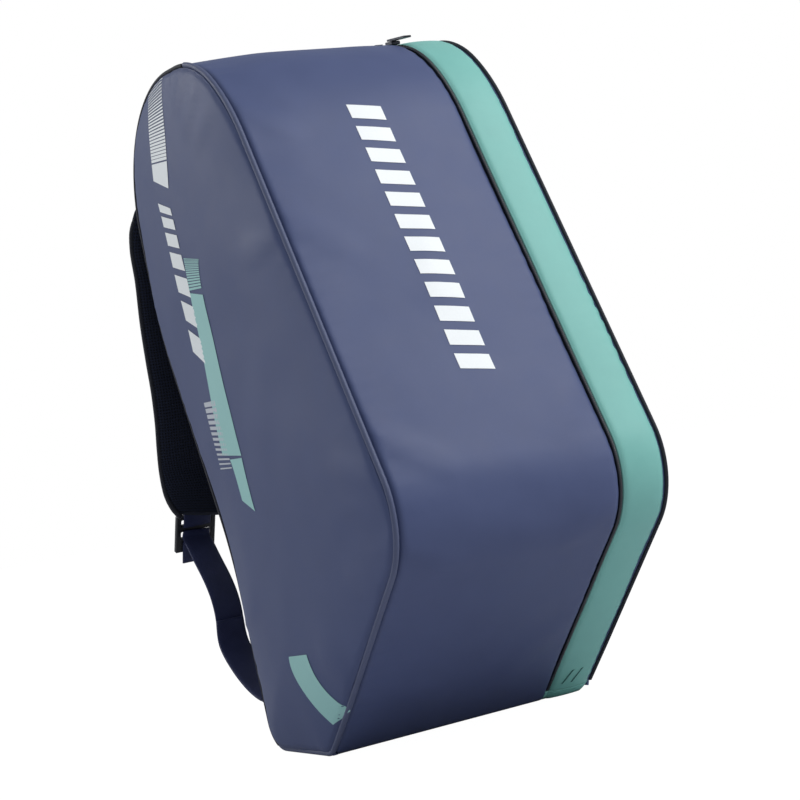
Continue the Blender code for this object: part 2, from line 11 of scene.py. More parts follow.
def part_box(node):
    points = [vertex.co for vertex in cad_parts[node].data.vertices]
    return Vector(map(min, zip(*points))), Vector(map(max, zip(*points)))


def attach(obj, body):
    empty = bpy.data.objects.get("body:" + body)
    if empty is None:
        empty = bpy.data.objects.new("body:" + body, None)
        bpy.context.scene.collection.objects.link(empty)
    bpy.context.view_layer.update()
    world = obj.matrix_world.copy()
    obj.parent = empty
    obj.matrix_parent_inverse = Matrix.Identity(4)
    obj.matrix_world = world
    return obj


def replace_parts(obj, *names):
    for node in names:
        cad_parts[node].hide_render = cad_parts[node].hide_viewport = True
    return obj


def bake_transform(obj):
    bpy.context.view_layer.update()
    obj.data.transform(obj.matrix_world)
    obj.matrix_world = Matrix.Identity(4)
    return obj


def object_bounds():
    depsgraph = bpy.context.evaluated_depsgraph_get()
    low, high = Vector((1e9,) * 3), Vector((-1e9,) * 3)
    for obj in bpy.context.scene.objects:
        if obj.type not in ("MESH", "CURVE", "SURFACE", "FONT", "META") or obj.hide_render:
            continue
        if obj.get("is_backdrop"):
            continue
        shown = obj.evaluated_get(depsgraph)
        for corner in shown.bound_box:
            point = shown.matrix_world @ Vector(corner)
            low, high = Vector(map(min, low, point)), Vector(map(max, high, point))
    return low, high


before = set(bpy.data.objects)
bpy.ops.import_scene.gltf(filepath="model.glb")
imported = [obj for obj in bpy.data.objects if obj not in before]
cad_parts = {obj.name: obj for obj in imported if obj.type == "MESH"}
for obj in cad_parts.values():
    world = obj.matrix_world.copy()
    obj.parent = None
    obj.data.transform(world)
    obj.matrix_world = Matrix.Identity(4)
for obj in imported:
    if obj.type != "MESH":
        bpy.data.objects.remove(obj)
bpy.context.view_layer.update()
scene = bpy.context.scene

# Camera: level with the middle of the bag, a little to the front left, tipped to one side.
camera_data = bpy.data.cameras.new("camera")
camera_data.lens = 99.0
camera_data.sensor_width = 36.0
camera = bpy.data.objects.new("camera", camera_data)
scene.collection.objects.link(camera)
camera.matrix_world = (
    Matrix.Translation((-0.8213, -1.5088, 0.2506))
    @ Matrix.Rotation(math.radians(-29.09), 4, "Z")
    @ Matrix.Rotation(math.radians(90.0), 4, "X")
    @ Matrix.Rotation(math.radians(-10.24), 4, "Z")
)
scene.camera = camera
scene.view_settings.view_transform = "Standard"

# Studio: a pale floor, white behind, a broad light above and a softer one from each side.
world = bpy.data.worlds.new("studio")
scene.world = world
world.use_nodes = True
nodes = world.node_tree.nodes
links = world.node_tree.links
nodes.clear()
seen = nodes.new("ShaderNodeLightPath")
backdrop = nodes.new("ShaderNodeBackground")
backdrop.inputs["Color"].default_value = (1.0, 1.0, 1.0, 1.0)
backdrop.inputs["Strength"].default_value = 1.0
fill = nodes.new("ShaderNodeBackground")
fill.inputs["Color"].default_value = (0.90, 0.95, 1.0, 1.0)
fill.inputs["Strength"].default_value = 0.42
choose = nodes.new("ShaderNodeMixShader")
sky = nodes.new("ShaderNodeOutputWorld")
direct = nodes.new("ShaderNodeMath")
direct.operation = "MAXIMUM"
links.new(seen.outputs["Is Camera Ray"], direct.inputs[0])
links.new(seen.outputs["Is Transmission Ray"], direct.inputs[1])
links.new(direct.outputs[0], choose.inputs[0])
links.new(fill.outputs[0], choose.inputs[1])
links.new(backdrop.outputs[0], choose.inputs[2])
links.new(choose.outputs[0], sky.inputs["Surface"])


def area_light(name, place, size, power, target=(0.0, 0.0, 0.27)):
    data = bpy.data.lights.new(name, "AREA")
    data.shape = "RECTANGLE"
    data.size, data.size_y = size
    data.energy = power
    lamp = bpy.data.objects.new(name, data)
    lamp.location = place
    lamp.rotation_euler = (Vector(target) - Vector(place)).to_track_quat("-Z", "Y").to_euler()
    scene.collection.objects.link(lamp)


area_light("top_light", (1.15, -1.2, 1.85), (0.9, 0.7), 29.0)
area_light("high_light", (-0.5, -0.9, 2.3), (1.4, 1.0), 6.0)
area_light("right_light", (2.0, -1.5, 1.0), (1.0, 1.4), 13.0)
area_light("left_light", (-1.3, 1.5, 1.3), (0.7, 1.4), 17.0)

floor_mesh = bpy.data.meshes.new("floor")
floor_mesh.from_pydata([(-4, -4, 0), (4, -4, 0), (4, 4, 0), (-4, 4, 0)], [], [(0, 1, 2, 3)])
floor = bpy.data.objects.new("floor", floor_mesh)
scene.collection.objects.link(floor)
paint = bpy.data.materials.new("floor")
paint.use_nodes = True
nodes = paint.node_tree.nodes
links = paint.node_tree.links
nodes.clear()
seen = nodes.new("ShaderNodeLightPath")
matt = nodes.new("ShaderNodeBsdfDiffuse")
matt.inputs["Color"].default_value = (0.66, 0.66, 0.68, 1.0)
glow = nodes.new("ShaderNodeEmission")
glow.inputs["Color"].default_value = (1.0, 1.0, 1.0, 1.0)
glow.inputs["Strength"].default_value = 1.12
choose = nodes.new("ShaderNodeMixShader")
out = nodes.new("ShaderNodeOutputMaterial")
clear = nodes.new("ShaderNodeMath")
clear.operation = "MULTIPLY"
clear.inputs[1].default_value = 0.88
links.new(seen.outputs["Is Camera Ray"], clear.inputs[0])
links.new(clear.outputs[0], choose.inputs[0])
links.new(matt.outputs[0], choose.inputs[1])
links.new(glow.outputs[0], choose.inputs[2])
links.new(choose.outputs[0], out.inputs["Surface"])
floor_mesh.materials.append(paint)
floor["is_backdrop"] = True


# ------------------------------------------------------------------ coated front
# One piece of coated polyester bends over the belly and the crown, from the base to the
# top of the back. It is sewn to the corded seam on the left and to the zip tape on the right.

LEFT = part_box("side_panel_front")[0].x
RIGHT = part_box("door_panel")[1].x
BAND_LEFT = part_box("front_panel")[0].x
BAND_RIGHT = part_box("front_panel")[1].x
BACK_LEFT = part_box("top_panel")[0].x
GUSSET_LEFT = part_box("door_gusset")[0].x
GUSSET_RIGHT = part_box("door_gusset")[1].x
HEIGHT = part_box("top_panel")[1].z


def side_outline():
    """The side view as straight runs and arcs: (length at start, length at end, kind, data)."""
    corners = [
        ("toe", (-0.042, 0.0), 0.016),
        ("heel", (0.058, 0.0), 0.024),
        ("waist", (0.071, 0.155), 0.25),
        ("shoulder", (0.131, 0.335), 0.25),
        ("crown_back", (0.145, HEIGHT), 0.106),
        ("crown_front", (-0.020, HEIGHT), 0.088),
        ("brow", (-0.066, 0.484), 0.15),
        ("belly", (-0.214, 0.160), 0.062),
    ]
    points = [Vector(c[1]) for c in corners]
    count = len(corners)
    runs = []
    marks = {}
    bends = []
    for i, (name, _, radius) in enumerate(corners):
        into = (points[i] - points[i - 1]).normalized()
        after = (points[(i + 1) % count] - points[i]).normalized()
        turn = math.atan2(into.x * after.y - into.y * after.x, into.dot(after))
        tangent = radius * math.tan(abs(turn) / 2)
        bends.append((name, points[i] - into * tangent, points[i] + after * tangent, into, turn, radius))
    length = 0.0
    place = bends[0][2]
    for name, start, end, into, turn, radius in bends[1:] + bends[:1]:
        span = (start - place).length
        runs.append((length, length + span, "line", (place, into)))
        length += span
        normal = Vector((into.y, -into.x))
        side = 1.0 if turn > 0 else -1.0
        centre = start - normal * (side * radius)
        span = radius * abs(turn)
        runs.append((length, length + span, "arc", (centre, normal, turn, side * radius)))
        marks[name] = (length, length + span)
        length += span
        place = end
    return runs, marks, length


RUNS, MARKS, AROUND = side_outline()


def locate(length):
    """The outline's point and outward normal at a length round it."""
    length = min(max(length, 0.0), AROUND - 1e-6)
    for begin, end, kind, data in RUNS:
        if begin <= length <= end:
            if kind == "line":
                place, along = data
                return place + along * (length - begin), Vector((along.y, -along.x))
            centre, normal, turn, radius = data
            angle = turn * (length - begin) / (end - begin)
            spun = Matrix.Rotation(angle, 2) @ normal
            return centre + spun * radius, spun
    return place, normal


def on_bend(name, degrees, radius):
    begin, end = MARKS[name]
    return (begin if degrees >= 0 else end) + radius * math.radians(degrees)


ZIP_BACK = on_bend("crown_back", -30.0, 0.106)
FOLD_TOP = on_bend("crown_front", 11.0, 0.088)
FOLD_BOTTOM = on_bend("heel", 29.0, 0.024)
DOOR_FOLD_BOTTOM = on_bend("heel", 22.0, 0.024)
GUSSET_END = MARKS["toe"][0] - 0.004


def steps(start, end, pitch):
    count = max(1, round(abs(end - start) / pitch))
    return [start + (end - start) * i / count for i in range(count + 1)]


def edged(start, end, count=26):
    """Places from start to end, closer together beside both ends."""
    near = [0.0, 0.0006, 0.0014, 0.0026, 0.0042, 0.0062]
    inner = [start + 0.009 + (end - start - 0.018) * i / count for i in range(count + 1)]
    return [start + d for d in near] + inner + [end - d for d in reversed(near)]


def along_edged(start, end, pitch):
    """The same along a seam, with an even pitch between."""
    return edged(start, end, round((end - start) / pitch))


def grid_object(name, rows, flat, look, smooth=True):
    """A sheet from rows of points; flat holds each point's place on the uncut cloth, for the print and weave."""
    wide = len(rows[0])
    mesh = bpy.data.meshes.new(name)
    verts = [p for row in rows for p in row]
    faces = []
    for r in range(len(rows) - 1):
        for c in range(wide - 1):
            a = r * wide + c
            faces.append((a, a + 1, a + wide + 1, a + wide))
    mesh.from_pydata(verts, [], faces)
    places = [p for row in flat for p in row]
    layer = mesh.uv_layers.new(name="flat")
    for loop in mesh.loops:
        layer.data[loop.index].uv = places[loop.vertex_index]
    if smooth:
        mesh.shade_smooth()
    mesh.materials.append(look)
    item = bpy.data.objects.new(name, mesh)
    scene.collection.objects.link(item)
    return item


HEM = 0.004


def hemmed(rows, flat, inward, ends=True):
    """Turns the cloth's edges in at the seams; inward(r) is the way in at a row."""
    for r, (row, places) in enumerate(zip(rows, flat)):
        turn = inward(r) * HEM
        row.insert(0, row[0] + turn)
        row.append(row[-1] + turn)
        places.insert(0, (places[0][0] - HEM, places[0][1]))
        places.append((places[-1][0] + HEM, places[-1][1]))
    if ends:
        first = inward(0) * HEM
        last = inward(len(rows) - 1) * HEM
        rows.insert(0, [p + first for p in rows[0]])
        rows.append([p + last for p in rows[-1]])
        flat.insert(0, [(u, v - HEM) for u, v in flat[0]])
        flat.append([(u, v + HEM) for u, v in flat[-1]])


def under(lengths):
    """The way in along the outline, for a row of each length."""
    ways = [-locate(s)[1] for s in lengths]
    return lambda r: Vector((0.0, *ways[r]))


def seam_drop(distance, drop, reach):
    """How far cloth dips beside a seam."""
    return -drop * math.exp(-((distance / reach) ** 2))


def slack(place, size, amount):
    """Slow unevenness of stretched cloth."""
    return amount * noise.noise(Vector(place) / size)


def pucker(along, distance, amount, pitch=0.014, reach=0.010):
    """Small gathers that run away from a seam."""
    wave = math.sin(2 * math.pi * along / pitch + 5 * noise.noise(Vector((along * 18, 0.3, 0.7))))
    gain = max(0.0, 0.35 + noise.noise(Vector((along * 9, 2.0, 4.0))))
    return amount * gain * wave * math.exp(-distance / reach)


def creases(place, folds):
    """Soft ridges; each fold is (start, end, height, width) on the flat cloth."""
    rise = 0.0
    for start, end, height, width in folds:
        start, end = Vector(start), Vector(end)
        along = end - start
        share = max(0.0, min(1.0, (place - start).dot(along) / along.length_squared))
        bend = 0.004 * math.sin(3.0 * share)
        apart = (place - start - along * share).length - bend
        fade = math.sin(math.pi * min(1.0, 0.15 + 0.85 * share)) ** 0.5
        rise += height * fade * math.exp(-((apart / width) ** 2))
    return rise


FRONT_FOLDS = [
    ((-0.104, 0.800), (-0.070, 0.835), 0.0011, 0.007),
    ((-0.105, 0.900), (-0.060, 0.940), 0.0010, 0.009),
    ((-0.106, 1.080), (-0.055, 1.120), 0.0014, 0.008),
    ((-0.050, 1.135), (0.030, 1.155), -0.0012, 0.012),
    ((-0.105, 1.165), (-0.050, 1.190), 0.0013, 0.007),
    ((0.066, 1.060), (0.030, 1.110), 0.0013, 0.009),
    ((0.067, 1.160), (0.020, 1.185), 0.0011, 0.008),
    ((0.066, 0.850), (0.035, 0.900), 0.0010, 0.010),
    ((-0.090, 1.300), (-0.030, 1.340), 0.0012, 0.011),
    ((0.060, 1.280), (0.015, 1.330), 0.0010, 0.010),
    ((0.010, 0.900), (-0.020, 1.020), 0.0009, 0.016),
]


FOOT_REACH = 0.060


def front_offset(length, x):
    """How far the front cloth stands from the outline."""
    left = x - front_left(length)
    right = BAND_RIGHT - x
    middle = 1 - ((x - 0.5 * (BAND_LEFT + BAND_RIGHT)) / (0.5 * (BAND_RIGHT - BAND_LEFT))) ** 2
    offset = 0.0036 * max(0.0, middle)
    offset += seam_drop(left, 0.0032, 0.0019) + seam_drop(right, 0.0016, 0.0018)
    offset += pucker(length, left, 0.0009) + pucker(length + 0.3, right, 0.0005)
    offset += slack((x, length, 0.2), 0.075, 0.0016) + slack((x, length, 4.2), 0.028, 0.0004)
    edge = min(1.0, min(left, right) / 0.006)
    offset += edge * creases(Vector((x, length)), FRONT_FOLDS)
    foot = min(1.0, (AROUND - length) / FOOT_REACH)
    return offset * foot * foot * (3 - 2 * foot)


def front_left(length):
    """The front cloth's left edge: it steps aside for the racket zip behind the fold."""
    share = min(1.0, max(0.0, (length - FOLD_TOP + 0.012) / 0.012))
    share = share * share * (3 - 2 * share)
    return BACK_LEFT + (BAND_LEFT - BACK_LEFT) * share


def front_point(length, x, lift=0.0):
    point, normal = locate(length)
    point = point + normal * (front_offset(length, x) + lift)
    return Vector((x, *point))


def new_material(name):
    look = bpy.data.materials.new(name)
    look.use_nodes = True
    tree = look.node_tree
    return look, tree, tree.nodes["Principled BSDF"]


def add(tree, kind, **values):
    """A node with its settings and socket values."""
    node = tree.nodes.new(kind)
    for key, value in values.items():
        if key in node.inputs:
            node.inputs[key].default_value = value
        else:
            setattr(node, key, value)
    return node


def new_group(name, inputs, outputs):
    tree = bpy.data.node_groups.new(name, "ShaderNodeTree")
    for label, kind, value in inputs:
        socket = tree.interface.new_socket(label, in_out="INPUT", socket_type=kind)
        if value is not None:
            socket.default_value = value
    for label, kind in outputs:
        tree.interface.new_socket(label, in_out="OUTPUT", socket_type=kind)
    return tree, tree.nodes.new("NodeGroupInput"), tree.nodes.new("NodeGroupOutput")


def weave_group():
    """Fine plain weave under a coating: thread height, and slow patches of worn sheen."""
    tree, given, result = new_group(
        "coated weave",
        [("Vector", "NodeSocketVector", None), ("Threads per Metre", "NodeSocketFloat", 1400.0)],
        [("Height", "NodeSocketFloat"), ("Patch", "NodeSocketFloat")],
    )
    scaled = add(tree, "ShaderNodeVectorMath", operation="SCALE")
    tree.links.new(given.outputs["Vector"], scaled.inputs[0])
    tree.links.new(given.outputs["Threads per Metre"], scaled.inputs["Scale"])
    warp = add(tree, "ShaderNodeTexWave", Scale=1.0, Distortion=0.4)
    weft = add(tree, "ShaderNodeTexWave", Scale=1.0, Distortion=0.4, bands_direction="Y")
    both = add(tree, "ShaderNodeMath", operation="MULTIPLY")
    patch = add(tree, "ShaderNodeTexNoise", Scale=38.0, Detail=3.0, Roughness=0.6)
    grain = add(tree, "ShaderNodeTexNoise", Scale=900.0, Detail=2.0)
    mixed = add(tree, "ShaderNodeMath", operation="MULTIPLY_ADD")
    mixed.inputs[1].default_value = 0.5
    for wave in (warp, weft):
        tree.links.new(scaled.outputs[0], wave.inputs["Vector"])
    tree.links.new(given.outputs["Vector"], patch.inputs["Vector"])
    tree.links.new(given.outputs["Vector"], grain.inputs["Vector"])
    tree.links.new(warp.outputs["Fac"], both.inputs[0])
    tree.links.new(weft.outputs["Fac"], both.inputs[1])
    tree.links.new(grain.outputs["Fac"], mixed.inputs[0])
    tree.links.new(both.outputs[0], mixed.inputs[2])
    tree.links.new(mixed.outputs[0], result.inputs["Height"])
    tree.links.new(patch.outputs["Fac"], result.inputs["Patch"])
    return tree


WEAVE = weave_group()


def coated_cloth(name, shade, light, rough=0.48, bump=0.14, sheen=0.0, use_flat=True):
    """Coated polyester: two close shades, a fine weave and a soft sheen."""
    look, tree, surface = new_material(name)
    if use_flat:
        place = add(tree, "ShaderNodeUVMap", uv_map="flat").outputs["UV"]
    else:
        place = add(tree, "ShaderNodeTexCoord").outputs["Object"]
    weave = add(tree, "ShaderNodeGroup", node_tree=WEAVE)
    tree.links.new(place, weave.inputs["Vector"])
    tone = add(tree, "ShaderNodeMix", data_type="RGBA")
    tone.inputs["A"].default_value = (*shade, 1.0)
    tone.inputs["B"].default_value = (*light, 1.0)
    tree.links.new(weave.outputs["Patch"], tone.inputs["Factor"])
    tree.links.new(tone.outputs["Result"], surface.inputs["Base Color"])
    wear = add(tree, "ShaderNodeMapRange")
    wear.inputs["To Min"].default_value = rough - 0.06
    wear.inputs["To Max"].default_value = rough + 0.08
    tree.links.new(weave.outputs["Patch"], wear.inputs["Value"])
    tree.links.new(wear.outputs["Result"], surface.inputs["Roughness"])
    raised = add(tree, "ShaderNodeBump", Strength=bump, Distance=0.0004)
    tree.links.new(weave.outputs["Height"], raised.inputs["Height"])
    tree.links.new(raised.outputs["Normal"], surface.inputs["Normal"])
    surface.inputs["Sheen Weight"].default_value = sheen
    surface.inputs["Sheen Roughness"].default_value = 0.5
    surface.inputs["Specular IOR Level"].default_value = 0.3
    return look


NAVY = coated_cloth("navy coated cloth", (0.052, 0.070, 0.160), (0.065, 0.086, 0.188))
DARK = coated_cloth("dark base cloth", (0.016, 0.018, 0.032), (0.022, 0.025, 0.044), 0.6)


def shell(item, depth=0.0018):
    """Cloth and foam behind the visible face, as part of the mesh."""
    skin = item.modifiers.new("foam", "SOLIDIFY")
    skin.thickness = depth
    skin.offset = -1.0
    graph = bpy.context.evaluated_depsgraph_get()
    solid = bpy.data.meshes.new_from_object(item.evaluated_get(graph))
    item.modifiers.clear()
    item.data = solid
    return item


def facing(item, outward):
    """Turns the sheet's faces to the side that outward gives for their centre."""
    shape = bmesh.new()
    shape.from_mesh(item.data)
    flip = [f for f in shape.faces if f.normal.dot(outward(f.calc_center_median())) < 0]
    if len(flip) > len(shape.faces) / 2:
        bmesh.ops.reverse_faces(shape, faces=shape.faces)
    shape.to_mesh(item.data)
    shape.free()
    return item


BODY_MIDDLE = Vector((0.0, -0.02, 0.27))


def from_middle(point):
    out = point - BODY_MIDDLE
    out.x = 0.0
    return out


rows = []
flat = []
lengths = along_edged(ZIP_BACK, AROUND, 0.004)
for length in lengths:
    across = edged(front_left(length), BAND_RIGHT)
    rows.append([front_point(length, x) for x in across])
    flat.append([(x, length) for x in across])
hemmed(rows, flat, under(lengths))
front = grid_object("front_cloth", rows, flat, NAVY)
facing(front, from_middle)
shell(front)
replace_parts(front, "front_panel", "top_panel")
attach(front, "bag")

rows = []
flat = []
lengths = steps(0.0, FOLD_BOTTOM, 0.005)
for length in lengths:
    point, normal = locate(length)
    across = edged(BAND_LEFT, GUSSET_RIGHT, 16)
    rows.append([Vector((x, *point)) for x in across])
    flat.append([(x, length) for x in across])
hemmed(rows, flat, under(lengths))
base = grid_object("base_cloth", rows, flat, DARK)
facing(base, from_middle)
shell(base)
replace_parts(base, "base_panel")
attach(base, "bag")

# ------------------------------------------------------------------ racket side panel
# One flat-cut panel of the same cloth, a little crowned, with a corded navy seam in front and
# a thin black one behind. On the bag its rear half folds out on the racket zip; here the cloth does not bend.


EDGE_LENGTHS = steps(0.0, AROUND, 0.002)
EDGE_POINTS = np.array([locate(s)[0] for s in EDGE_LENGTHS])
CROWN = 0.0118
CROWN_REACH = 0.040
EDGE_INSET = 0.0026
DOOR_EDGE_INSET = 0.0015


SIDE_FOLDS = [
    ((-0.006, 0.520), (0.014, 0.494), 0.0013, 0.0035),
    ((-0.024, 0.508), (0.000, 0.474), 0.0015, 0.0045),
    ((-0.044, 0.488), (-0.014, 0.462), 0.0011, 0.0050),
    ((-0.100, 0.380), (-0.060, 0.372), 0.0012, 0.0070),
    ((-0.190, 0.200), (-0.140, 0.215), 0.0016, 0.0070),
    ((-0.196, 0.165), (-0.135, 0.168), -0.0014, 0.0080),
    ((-0.180, 0.120), (-0.130, 0.140), 0.0015, 0.0070),
    ((-0.100, 0.050), (-0.070, 0.090), 0.0012, 0.0080),
    ((0.060, 0.100), (0.020, 0.125), 0.0012, 0.0070),
    ((0.085, 0.240), (0.045, 0.235), 0.0012, 0.0080),
    ((-0.060, 0.300), (-0.020, 0.180), 0.0012, 0.0160),
]


def side_point(place, side, lift=0.0):
    """A point of a crowned side panel above a place (y, z); side is -1 on the left, 1 on the right."""
    apart = np.hypot(EDGE_POINTS[:, 0] - place.x, EDGE_POINTS[:, 1] - place.y)
    nearest = int(apart.argmin())
    distance = float(apart[nearest])
    out = CROWN * (1 - math.exp(-distance / CROWN_REACH))
    out += slack((place.x, place.y, 0.9 * side), 0.08, 0.0022)
    out += slack((place.x, place.y, 5.0 * side), 0.03, 0.0004)
    out += seam_drop(distance - EDGE_INSET, 0.0016, 0.0022)
    out += pucker(EDGE_LENGTHS[nearest], distance, 0.0010)
    out += min(1.0, distance / 0.008) * creases(place, SIDE_FOLDS)
    face = LEFT if side < 0 else RIGHT
    return Vector((face + side * (out + lift), place.x, place.y))


def side_edges(inset):
    """The outline, moved in by the seam, as its front and its back edge from the foot to the top."""
    ring = [locate(s)[0] - locate(s)[1] * inset for s in EDGE_LENGTHS]
    top = max(range(len(ring)), key=lambda i: ring[i].y)
    back = ring[: top + 1]
    front_edge = list(reversed(ring[top:]))
    return front_edge, back


def cross_at(edge, height):
    """Where an edge that only climbs passes a height."""
    heights = [p.y for p in edge]
    places = [p.x for p in edge]
    return float(np.interp(height, heights, places))


def side_sheet(name, side, low, look):
    """A side panel in level rows from front edge to back edge, with closer rows where the top closes over."""
    front_edge, back_edge = side_edges(EDGE_INSET if side < 0 else DOOR_EDGE_INSET)
    top = min(front_edge[-1].y, back_edge[-1].y)
    crown_rows = [top - 0.0001 - 0.00016 * i * i for i in range(14)]
    foot_rows = [low + d for d in (0.0, 0.0006, 0.0014, 0.0026, 0.0042, 0.0062)]
    heights = foot_rows + steps(low + 0.009, crown_rows[-1] - 0.004, 0.0055) + crown_rows[::-1]
    rows = []
    flat = []
    for height in heights:
        across = edged(cross_at(front_edge, height), cross_at(back_edge, height), 34)
        rows.append([side_point(Vector((y, height)), side) for y in across])
        flat.append([(y, height) for y in across])
    hemmed(rows, flat, lambda r: Vector((-side, 0.0, 0.0)))
    return grid_object(name, rows, flat, look)


side = side_sheet("racket_side_cloth", -1, EDGE_INSET, NAVY)
facing(side, lambda p: Vector((-1.0, 0.0, 0.0)))
shell(side, 0.0016)
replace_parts(side, "side_panel_front", "side_flap")
LEFT_FOLD = (locate(FOLD_TOP)[0], locate(FOLD_BOTTOM)[0])


def fold_blend(item, body, fold):
    """Bakes the cloth's placement into its mesh; the way across the fold line is worked out, but nothing bends
    along it.
    """
    along = (fold[0] - fold[1]).normalized()
    across = Vector((along.y, -along.x))
    if body == "door":
        across = -across
    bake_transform(item)


fold_blend(side, "racket_flap", LEFT_FOLD)


def cord(name, start, end, x, offset, radius, look, body, stands_for, squeeze=0.0):
    """A corded seam: cloth rolled over a cord, gathered a little along its length."""
    rows = []
    flat = []
    ring = 14
    for s in steps(start, end, 0.003):
        point, normal = locate(s)
        grow = 1 + squeeze * math.sin(s * 900) * (0.5 + noise.noise(Vector((s * 20, 1, 2))))
        proud = (offset + radius) * min(1.0, (AROUND - s) / FOOT_REACH)
        row = []
        for i in range(ring + 1):
            a = 2 * math.pi * i / ring
            place = point + normal * (proud - radius + radius * grow * math.sin(a))
            row.append(Vector((x + radius * grow * math.cos(a), *place)))
        rows.append(row)
        flat.append([(s, i * radius * 0.45) for i in range(ring + 1)])
    item = grid_object(name, rows, flat, look)
    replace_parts(item, *stands_for)
    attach(item, body)
    return item


CORD = coated_cloth("navy cord cloth", (0.066, 0.080, 0.150), (0.082, 0.098, 0.178), 0.45)
BLACK_TRIM = coated_cloth("black trim", (0.010, 0.011, 0.018), (0.016, 0.017, 0.026), 0.6)
cord_x = LEFT + 0.0018
seam = cord("seam_cord", FOLD_TOP + 0.001, AROUND, cord_x, -0.0006, 0.0021, CORD, "bag",
            ["seam_piping_upper"], 0.05)
foot = cord("seam_cord_base", 0.0, FOLD_BOTTOM - 0.001, cord_x, -0.0021, 0.0021, CORD, "bag",
            ["seam_piping_base"], 0.0)
rear_cord = cord("flap_cord", FOLD_BOTTOM + 0.002, FOLD_TOP - 0.002, cord_x, -0.0011, 0.0018,
                 BLACK_TRIM, "racket_flap", ["flap_piping"], 0.0)

# ------------------------------------------------------------------ prints
# Screen prints on the coated cloth: plain slanted bars and bands in white and teal.


def ink(name, colour):
    look, tree, surface = new_material(name)
    place = add(tree, "ShaderNodeTexCoord").outputs["Object"]
    fleck = add(tree, "ShaderNodeTexNoise", Scale=700.0, Detail=2.0)
    tree.links.new(place, fleck.inputs["Vector"])
    tone = add(tree, "ShaderNodeMix", data_type="RGBA")
    tone.inputs["A"].default_value = (*[c * 0.93 for c in colour], 1.0)
    tone.inputs["B"].default_value = (*colour, 1.0)
    tree.links.new(fleck.outputs["Fac"], tone.inputs["Factor"])
    tree.links.new(tone.outputs["Result"], surface.inputs["Base Color"])
    raised = add(tree, "ShaderNodeBump", Strength=0.08, Distance=0.0003)
    tree.links.new(fleck.outputs["Fac"], raised.inputs["Height"])
    tree.links.new(raised.outputs["Normal"], surface.inputs["Normal"])
    surface.inputs["Roughness"].default_value = 0.5
    return look


WHITE_INK = ink("white print", (0.80, 0.83, 0.84))
TEAL_INK = ink("teal print", (0.30, 0.56, 0.54))
GREY_INK = ink("pale grey print", (0.50, 0.53, 0.58))


def print_object(name, patches, surface, look):
    """Patches of ink, each (a, b, c, d) corners on the flat cloth, laid on a surface."""
    verts = []
    faces = []
    for a, b, c, d in patches:
        long = max(2, round(max((d - a).length, (c - b).length) / 0.004))
        wide = max(1, round((b - a).length / 0.004))
        start = len(verts)
        for i in range(long + 1):
            left = a.lerp(d, i / long)
            right = b.lerp(c, i / long)
            verts += [surface(left.lerp(right, j / wide)) for j in range(wide + 1)]
        for i in range(long):
            for j in range(wide):
                k = start + i * (wide + 1) + j
                faces.append((k, k + 1, k + wide + 2, k + wide + 1))
    mesh = bpy.data.meshes.new(name)
    mesh.from_pydata(verts, [], faces)
    mesh.shade_smooth()
    mesh.materials.append(look)
    item = bpy.data.objects.new(name, mesh)
    scene.collection.objects.link(item)
    return item


def on_side(place):
    return side_point(place, -1, 0.00035)


def slanted(left, right, spans, slant):
    """Bars between two edges given as (top, bottom) points; spans are shares down the edges."""
    bars = []
    for low, high in spans:
        a = left[0].lerp(left[1], low)
        b = right[0].lerp(right[1], low + slant)
        c = right[0].lerp(right[1], high + slant)
        d = left[0].lerp(left[1], high)
        bars.append((a, b, c, d))
    return bars


WHITE_BAND = [
    (Vector((0.0651, 0.5250)), Vector((0.0653, 0.4924)), Vector((0.0690, 0.4529))),
    (Vector((0.0367, 0.5273)), Vector((0.0348, 0.4866)), Vector((0.0413, 0.4442))),
]
TEAL_BAND = [
    (Vector((0.0350, 0.3870)), Vector((0.0347, 0.3394)), Vector((0.0287, 0.2329))),
    (Vector((0.0082, 0.3815)), Vector((0.0095, 0.3356)), Vector((-0.0064, 0.2307))),
]
TEAL_FOOT = [
    (Vector((0.0160, 0.2290)), Vector((0.0120, 0.2180)), Vector((0.0070, 0.1970))),
    (Vector((-0.0064, 0.2290)), Vector((-0.0090, 0.2110)), Vector((-0.0140, 0.1880))),
]
GREY_BAND = [
    (Vector((0.0483, 0.2753)), Vector((0.0427, 0.2455)), Vector((0.0400, 0.2200))),
    (Vector((0.0243, 0.2753)), Vector((0.0190, 0.2440)), Vector((0.0150, 0.2200))),
]
TEAL_CURVE = [
    (Vector((-0.0206, 0.0771)), Vector((-0.0274, 0.0555)), Vector((-0.0584, 0.0254))),
    (Vector((-0.0500, 0.0790)), Vector((-0.0600, 0.0560)), Vector((-0.0850, 0.0362))),
]
BAR_PLACE = [
    (Vector((0.0700, 0.4360)), Vector((0.0607, 0.3811)), Vector((0.0525, 0.2900))),
    (Vector((0.0420, 0.4290)), Vector((0.0345, 0.3810)), Vector((0.0265, 0.2840))),
]


def along_edge(edge, share):
    """A point on the curve through an edge's three points."""
    start, middle, end = edge
    return start * (1 - share) * (1 - 2 * share) + middle * 4 * share * (1 - share) + end * share * (2 * share - 1)


def band_patches(edges, spans, slant=0.0, inset=(0.0, 1.0), end_slant=None):
    """Patches across a band; each span is a pair of shares down it, and slant moves the far edge on."""
    end_slant = slant if end_slant is None else end_slant
    left, right = edges
    patches = []
    for begin, end in spans:
        pieces = max(1, round((end - begin) / 0.06))
        for k in range(pieces):
            low = begin + (end - begin) * k / pieces
            high = begin + (end - begin) * (k + 1) / pieces
            a, d = along_edge(left, low), along_edge(left, high)
            first = slant + (end_slant - slant) * k / pieces
            second = slant + (end_slant - slant) * (k + 1) / pieces
            b, c = along_edge(right, low + first), along_edge(right, high + second)
            patches.append((a.lerp(b, inset[0]), a.lerp(b, inset[1]), d.lerp(c, inset[1]), d.lerp(c, inset[0])))
    return patches


